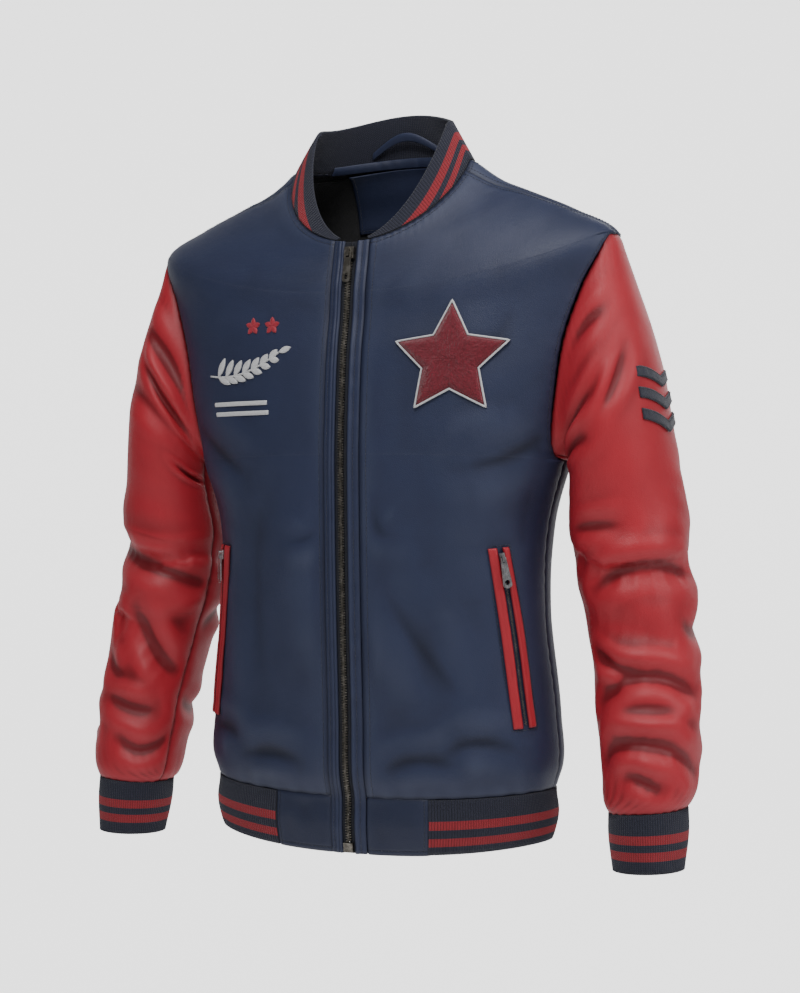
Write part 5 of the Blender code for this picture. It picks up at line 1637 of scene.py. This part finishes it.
def emblems(looks):
    felt_out = LAID_ON + FLATS + FELT
    reach = STAR_REACH + STAR_EDGE
    star_sheet("star_felt_patch", reach, felt_out, FELT, "navy_felt", looks["navy_felt"],
               "star_felt", 8, 240, 0.0, 0.0)
    star_sheet("star_chenille", STAR_REACH, felt_out + LAID_ON + PILE, PILE, "burgundy_pile",
               looks["burgundy_pile"], "star_pile", 30, 320, 0.0012, 0.0008)
    line, out = star_line(reach - 0.0014, felt_out + 0.0004, 240)
    cord_piece("star_white_cord", line, out, 0.0010, looks["white_thread"], "navy_felt")
    line, out = star_line(STAR_REACH + 0.0006, felt_out + 0.0006, 240)
    cord_piece("star_burgundy_cord", line, out, 0.0006, looks["burgundy_thread"], "burgundy_pile")
    angles = np.linspace(-CHEVRON_REACH, CHEVRON_REACH, 81)
    lifted = 2 * LAID_ON + PILE
    for number in range(3):
        point = CHEVRON_ALONG + number * CHEVRON_STEP
        middle = point - CHEVRON_RISE * np.abs(angles) / CHEVRON_REACH
        edges = np.linspace(-0.5, 0.5, 11) * CHEVRON_WIDTH
        rows = [np.array([sleeve_grid([angle], [spot], LEFT_FOLDS, lifted)[0, 0]
                          for angle, spot in zip(angles, middle + edge)]) for edge in edges]
        grid = np.stack(rows)
        near, far, low, high = edge_distances(grid)
        rim = np.minimum(np.minimum(near, far), np.minimum(low, high))
        lift = turned_in(rim, 0.0005, 0.0008) + 0.0002 * ripple(near / 0.006, low / 0.004, number)
        piece = sheet_piece(f"chevron_{number + 1}_felt", grid, PILE, "navy_felt",
                            (looks["navy_felt"],), lift)
        paths = [along_row_edge(grid, lift, 0.0014, False, np.arange(2, 79)),
                 along_row_edge(grid, lift, 0.0014, True, np.arange(2, 79))]
        sewn = stitches(f"chevron_{number + 1}_stitches", paths, looks["navy_thread"], "navy_felt",
                        0.0016, 0.0013, 0.00026)
        declare(piece, [f"sleeve_chevron_{number + 1}"], "laid", sewn)
    x, z = SPRIG_CENTRE
    shapes = []
    stem = [(x - 0.042 + 0.084 * share, z - 0.006 + 0.020 * share**2 - 0.004 * math.sin(math.pi * share))
            for share in np.linspace(0, 1, 9)]
    for (x0, z0), (x1, z1) in zip(stem, stem[1:]):
        shapes.append(bar(x0, z0, x1, z1, 0.0016))
    for number in range(1, 8):
        spot = stem[number]
        size = 0.021 - 0.0012 * number
        shapes.append(leaf(None, None, spot, math.radians(22 + 3 * number), size, 0.0068))
        shapes.append(leaf(None, None, spot, math.radians(118 - 3 * number), size * 0.9, 0.0062))
    shapes.append(leaf(None, None, stem[8], math.radians(70), 0.014, 0.0058))
    shapes.append(bar(x - 0.036, z - 0.034, x + 0.030, z - 0.0335, 0.0042))
    shapes.append(bar(x - 0.034, z - 0.0435, x + 0.032, z - 0.043, 0.0042))
    embroidery("chest_sprig", shapes, looks["white_thread"], "navy_felt")
    reds = small_star((x + 0.010, z + 0.040), 0.0085) + small_star((x + 0.032, z + 0.040), 0.0085)
    embroidery("chest_small_stars", reds, looks["red_thread"], "burgundy_pile")


# ---------------------------------------------------------------- stage

def area_light(name, place, target, size, power, colour=(1.0, 1.0, 1.0)):
    """A soft box aimed at a point."""
    lamp = bpy.data.lights.new(name, "AREA")
    lamp.shape = "RECTANGLE"
    lamp.size, lamp.size_y = size
    lamp.energy = power
    lamp.color = colour
    holder = bpy.data.objects.new(name, lamp)
    holder.location = place
    aim = Vector(target) - Vector(place)
    holder.rotation_euler = aim.to_track_quat("-Z", "Y").to_euler()
    bpy.context.scene.collection.objects.link(holder)


def studio():
    """A pale sweep of paper behind and below, soft boxes round the front, and the camera."""
    paper = bpy.data.materials.new("paper")
    paper.use_nodes = True
    tree = paper.node_tree
    shader = tree.nodes["Principled BSDF"]
    shader.inputs["Roughness"].default_value = 0.9
    shader.inputs["Emission Color"].default_value = PAPER
    seen = node(tree, "ShaderNodeLightPath").outputs["Is Camera Ray"]
    tree.links.new(stretched(tree, seen, 0.0, 1.0, PAPER_GLOW * PAPER_SPILL, PAPER_GLOW),
                   shader.inputs["Emission Strength"])
    fibre = node(tree, "ShaderNodeTexNoise", {"Scale": 3.0})
    tree.links.new(mixed(tree, fibre.outputs["Fac"], PAPER, tuple(0.98 * value for value in PAPER[:3])
                         + (1.0,)), shader.inputs["Base Color"])
    away = Vector((-math.sin(CAMERA_TURN), math.cos(CAMERA_TURN), 0.0))
    across = Vector((math.cos(CAMERA_TURN), math.sin(CAMERA_TURN), 0.0))
    profile = [(-3.5, FLOOR), (1.6, FLOOR)]
    for step in range(1, 13):
        bend = math.pi / 2 * step / 12
        profile.append((1.6 + 1.2 * math.sin(bend), FLOOR + 1.2 * (1 - math.cos(bend))))
    profile.append((2.8, 3.2))
    points = []
    for depth, height in profile:
        for side in (-4.0, 4.0):
            points.append(tuple(away * depth + across * side + Vector((0, 0, height))))
    faces = [(2 * row, 2 * row + 1, 2 * row + 3, 2 * row + 2) for row in range(len(profile) - 1)]
    mesh = bpy.data.meshes.new("paper_sweep")
    mesh.from_pydata(points, [], faces)
    mesh.materials.append(paper)
    mesh.shade_smooth()
    sweep = bpy.data.objects.new("paper_sweep", mesh)
    bpy.context.scene.collection.objects.link(sweep)
    world = bpy.data.worlds.new("studio")
    bpy.context.scene.world = world
    world.use_nodes = True
    world.node_tree.nodes["Background"].inputs[0].default_value = WORLD_COLOUR
    # Beyond the paper the room looks as pale as the paper, and lights the scene only at WORLD_STRENGTH
    seen = node(world.node_tree, "ShaderNodeLightPath").outputs["Is Camera Ray"]
    world.node_tree.links.new(stretched(world.node_tree, seen, 0.0, 1.0, WORLD_STRENGTH, ROOM_GLOW),
                              world.node_tree.nodes["Background"].inputs[1])
    middle = (0.0, 0.0, -0.30)
    for name, (turn, far, height, size, power) in SOFT_BOXES.items():
        angle = CAMERA_TURN + math.radians(turn)
        place = (far * math.sin(angle), -far * math.cos(angle), height)
        area_light(name, place, middle, size, power)
    lens = bpy.data.cameras.new("view")
    lens.lens = CAMERA_LENS
    lens.sensor_width = 36.0
    camera = bpy.data.objects.new("view", lens)
    camera.location = (CAMERA_DISTANCE * math.sin(CAMERA_TURN) + CAMERA_ASIDE * math.cos(CAMERA_TURN),
                       -CAMERA_DISTANCE * math.cos(CAMERA_TURN) + CAMERA_ASIDE * math.sin(CAMERA_TURN),
                       CAMERA_HEIGHT)
    camera.rotation_euler = (math.pi / 2, 0.0, CAMERA_TURN)
    bpy.context.scene.collection.objects.link(camera)
    bpy.context.scene.camera = camera


def all_looks():
    grain, knit_nodes, weave = grain_group(), knit_group(), weave_group()
    return {
        # Each leather gives its painted shade colour, its own colour and its painted highlight colour
        "blue_leather": leather("blue_leather", (0.008, 0.010, 0.024, 1.0), (0.027, 0.035, 0.078, 1.0),
                                (0.100, 0.118, 0.185, 1.0), grain),
        "red_leather": leather("red_leather", (0.120, 0.006, 0.010, 1.0), (0.430, 0.022, 0.034, 1.0),
                               (0.560, 0.052, 0.066, 1.0), grain),
        "collar_knit": knit("collar_knit", knit_nodes, (0.0140, 0.0230, 0.0290, 0.0365)),
        "hem_knit": knit("hem_knit", knit_nodes, (0.0204, 0.0297, 0.0380, 0.0462)),
        "cuff_knit": knit("cuff_knit", knit_nodes, (0.0190, 0.0275, 0.0345, 0.0430)),
        "lining": woollen("lining", (0.012, 0.012, 0.014, 1.0), weave, 0.0011, 0.0006),
        "zip_tape": woollen("zip_tape", (0.016, 0.018, 0.028, 1.0), weave, 0.0007, 0.0002, 0.1),
        "navy_felt": woollen("navy_felt", (0.022, 0.024, 0.045, 1.0), weave, 0.0009, 0.0004),
        "burgundy_pile": woollen("burgundy_pile", (0.230, 0.010, 0.026, 1.0), weave, 0.0012, 0.0006, 0.4),
        "gunmetal": metal("gunmetal", (0.150, 0.138, 0.120, 1.0), 0.36, (0.360, 0.335, 0.295, 1.0)),
        "silver_metal": metal("silver_metal", (0.440, 0.440, 0.450, 1.0), 0.28, (0.720, 0.720, 0.730, 1.0)),
        "navy_thread": thread("navy_thread", (0.012, 0.014, 0.028, 1.0)),
        "white_thread": thread("white_thread", (0.720, 0.720, 0.730, 1.0)),
        "burgundy_thread": thread("burgundy_thread", (0.240, 0.012, 0.028, 1.0)),
        "red_thread": thread("red_thread", (0.420, 0.020, 0.040, 1.0)),
    }


def main():
    looks = all_looks()
    body(looks)
    inner_neck(looks)
    opening(looks)
    zips(looks)
    pockets(looks)
    sleeves(looks)
    bands(looks)
    emblems(looks)
    studio()


main()
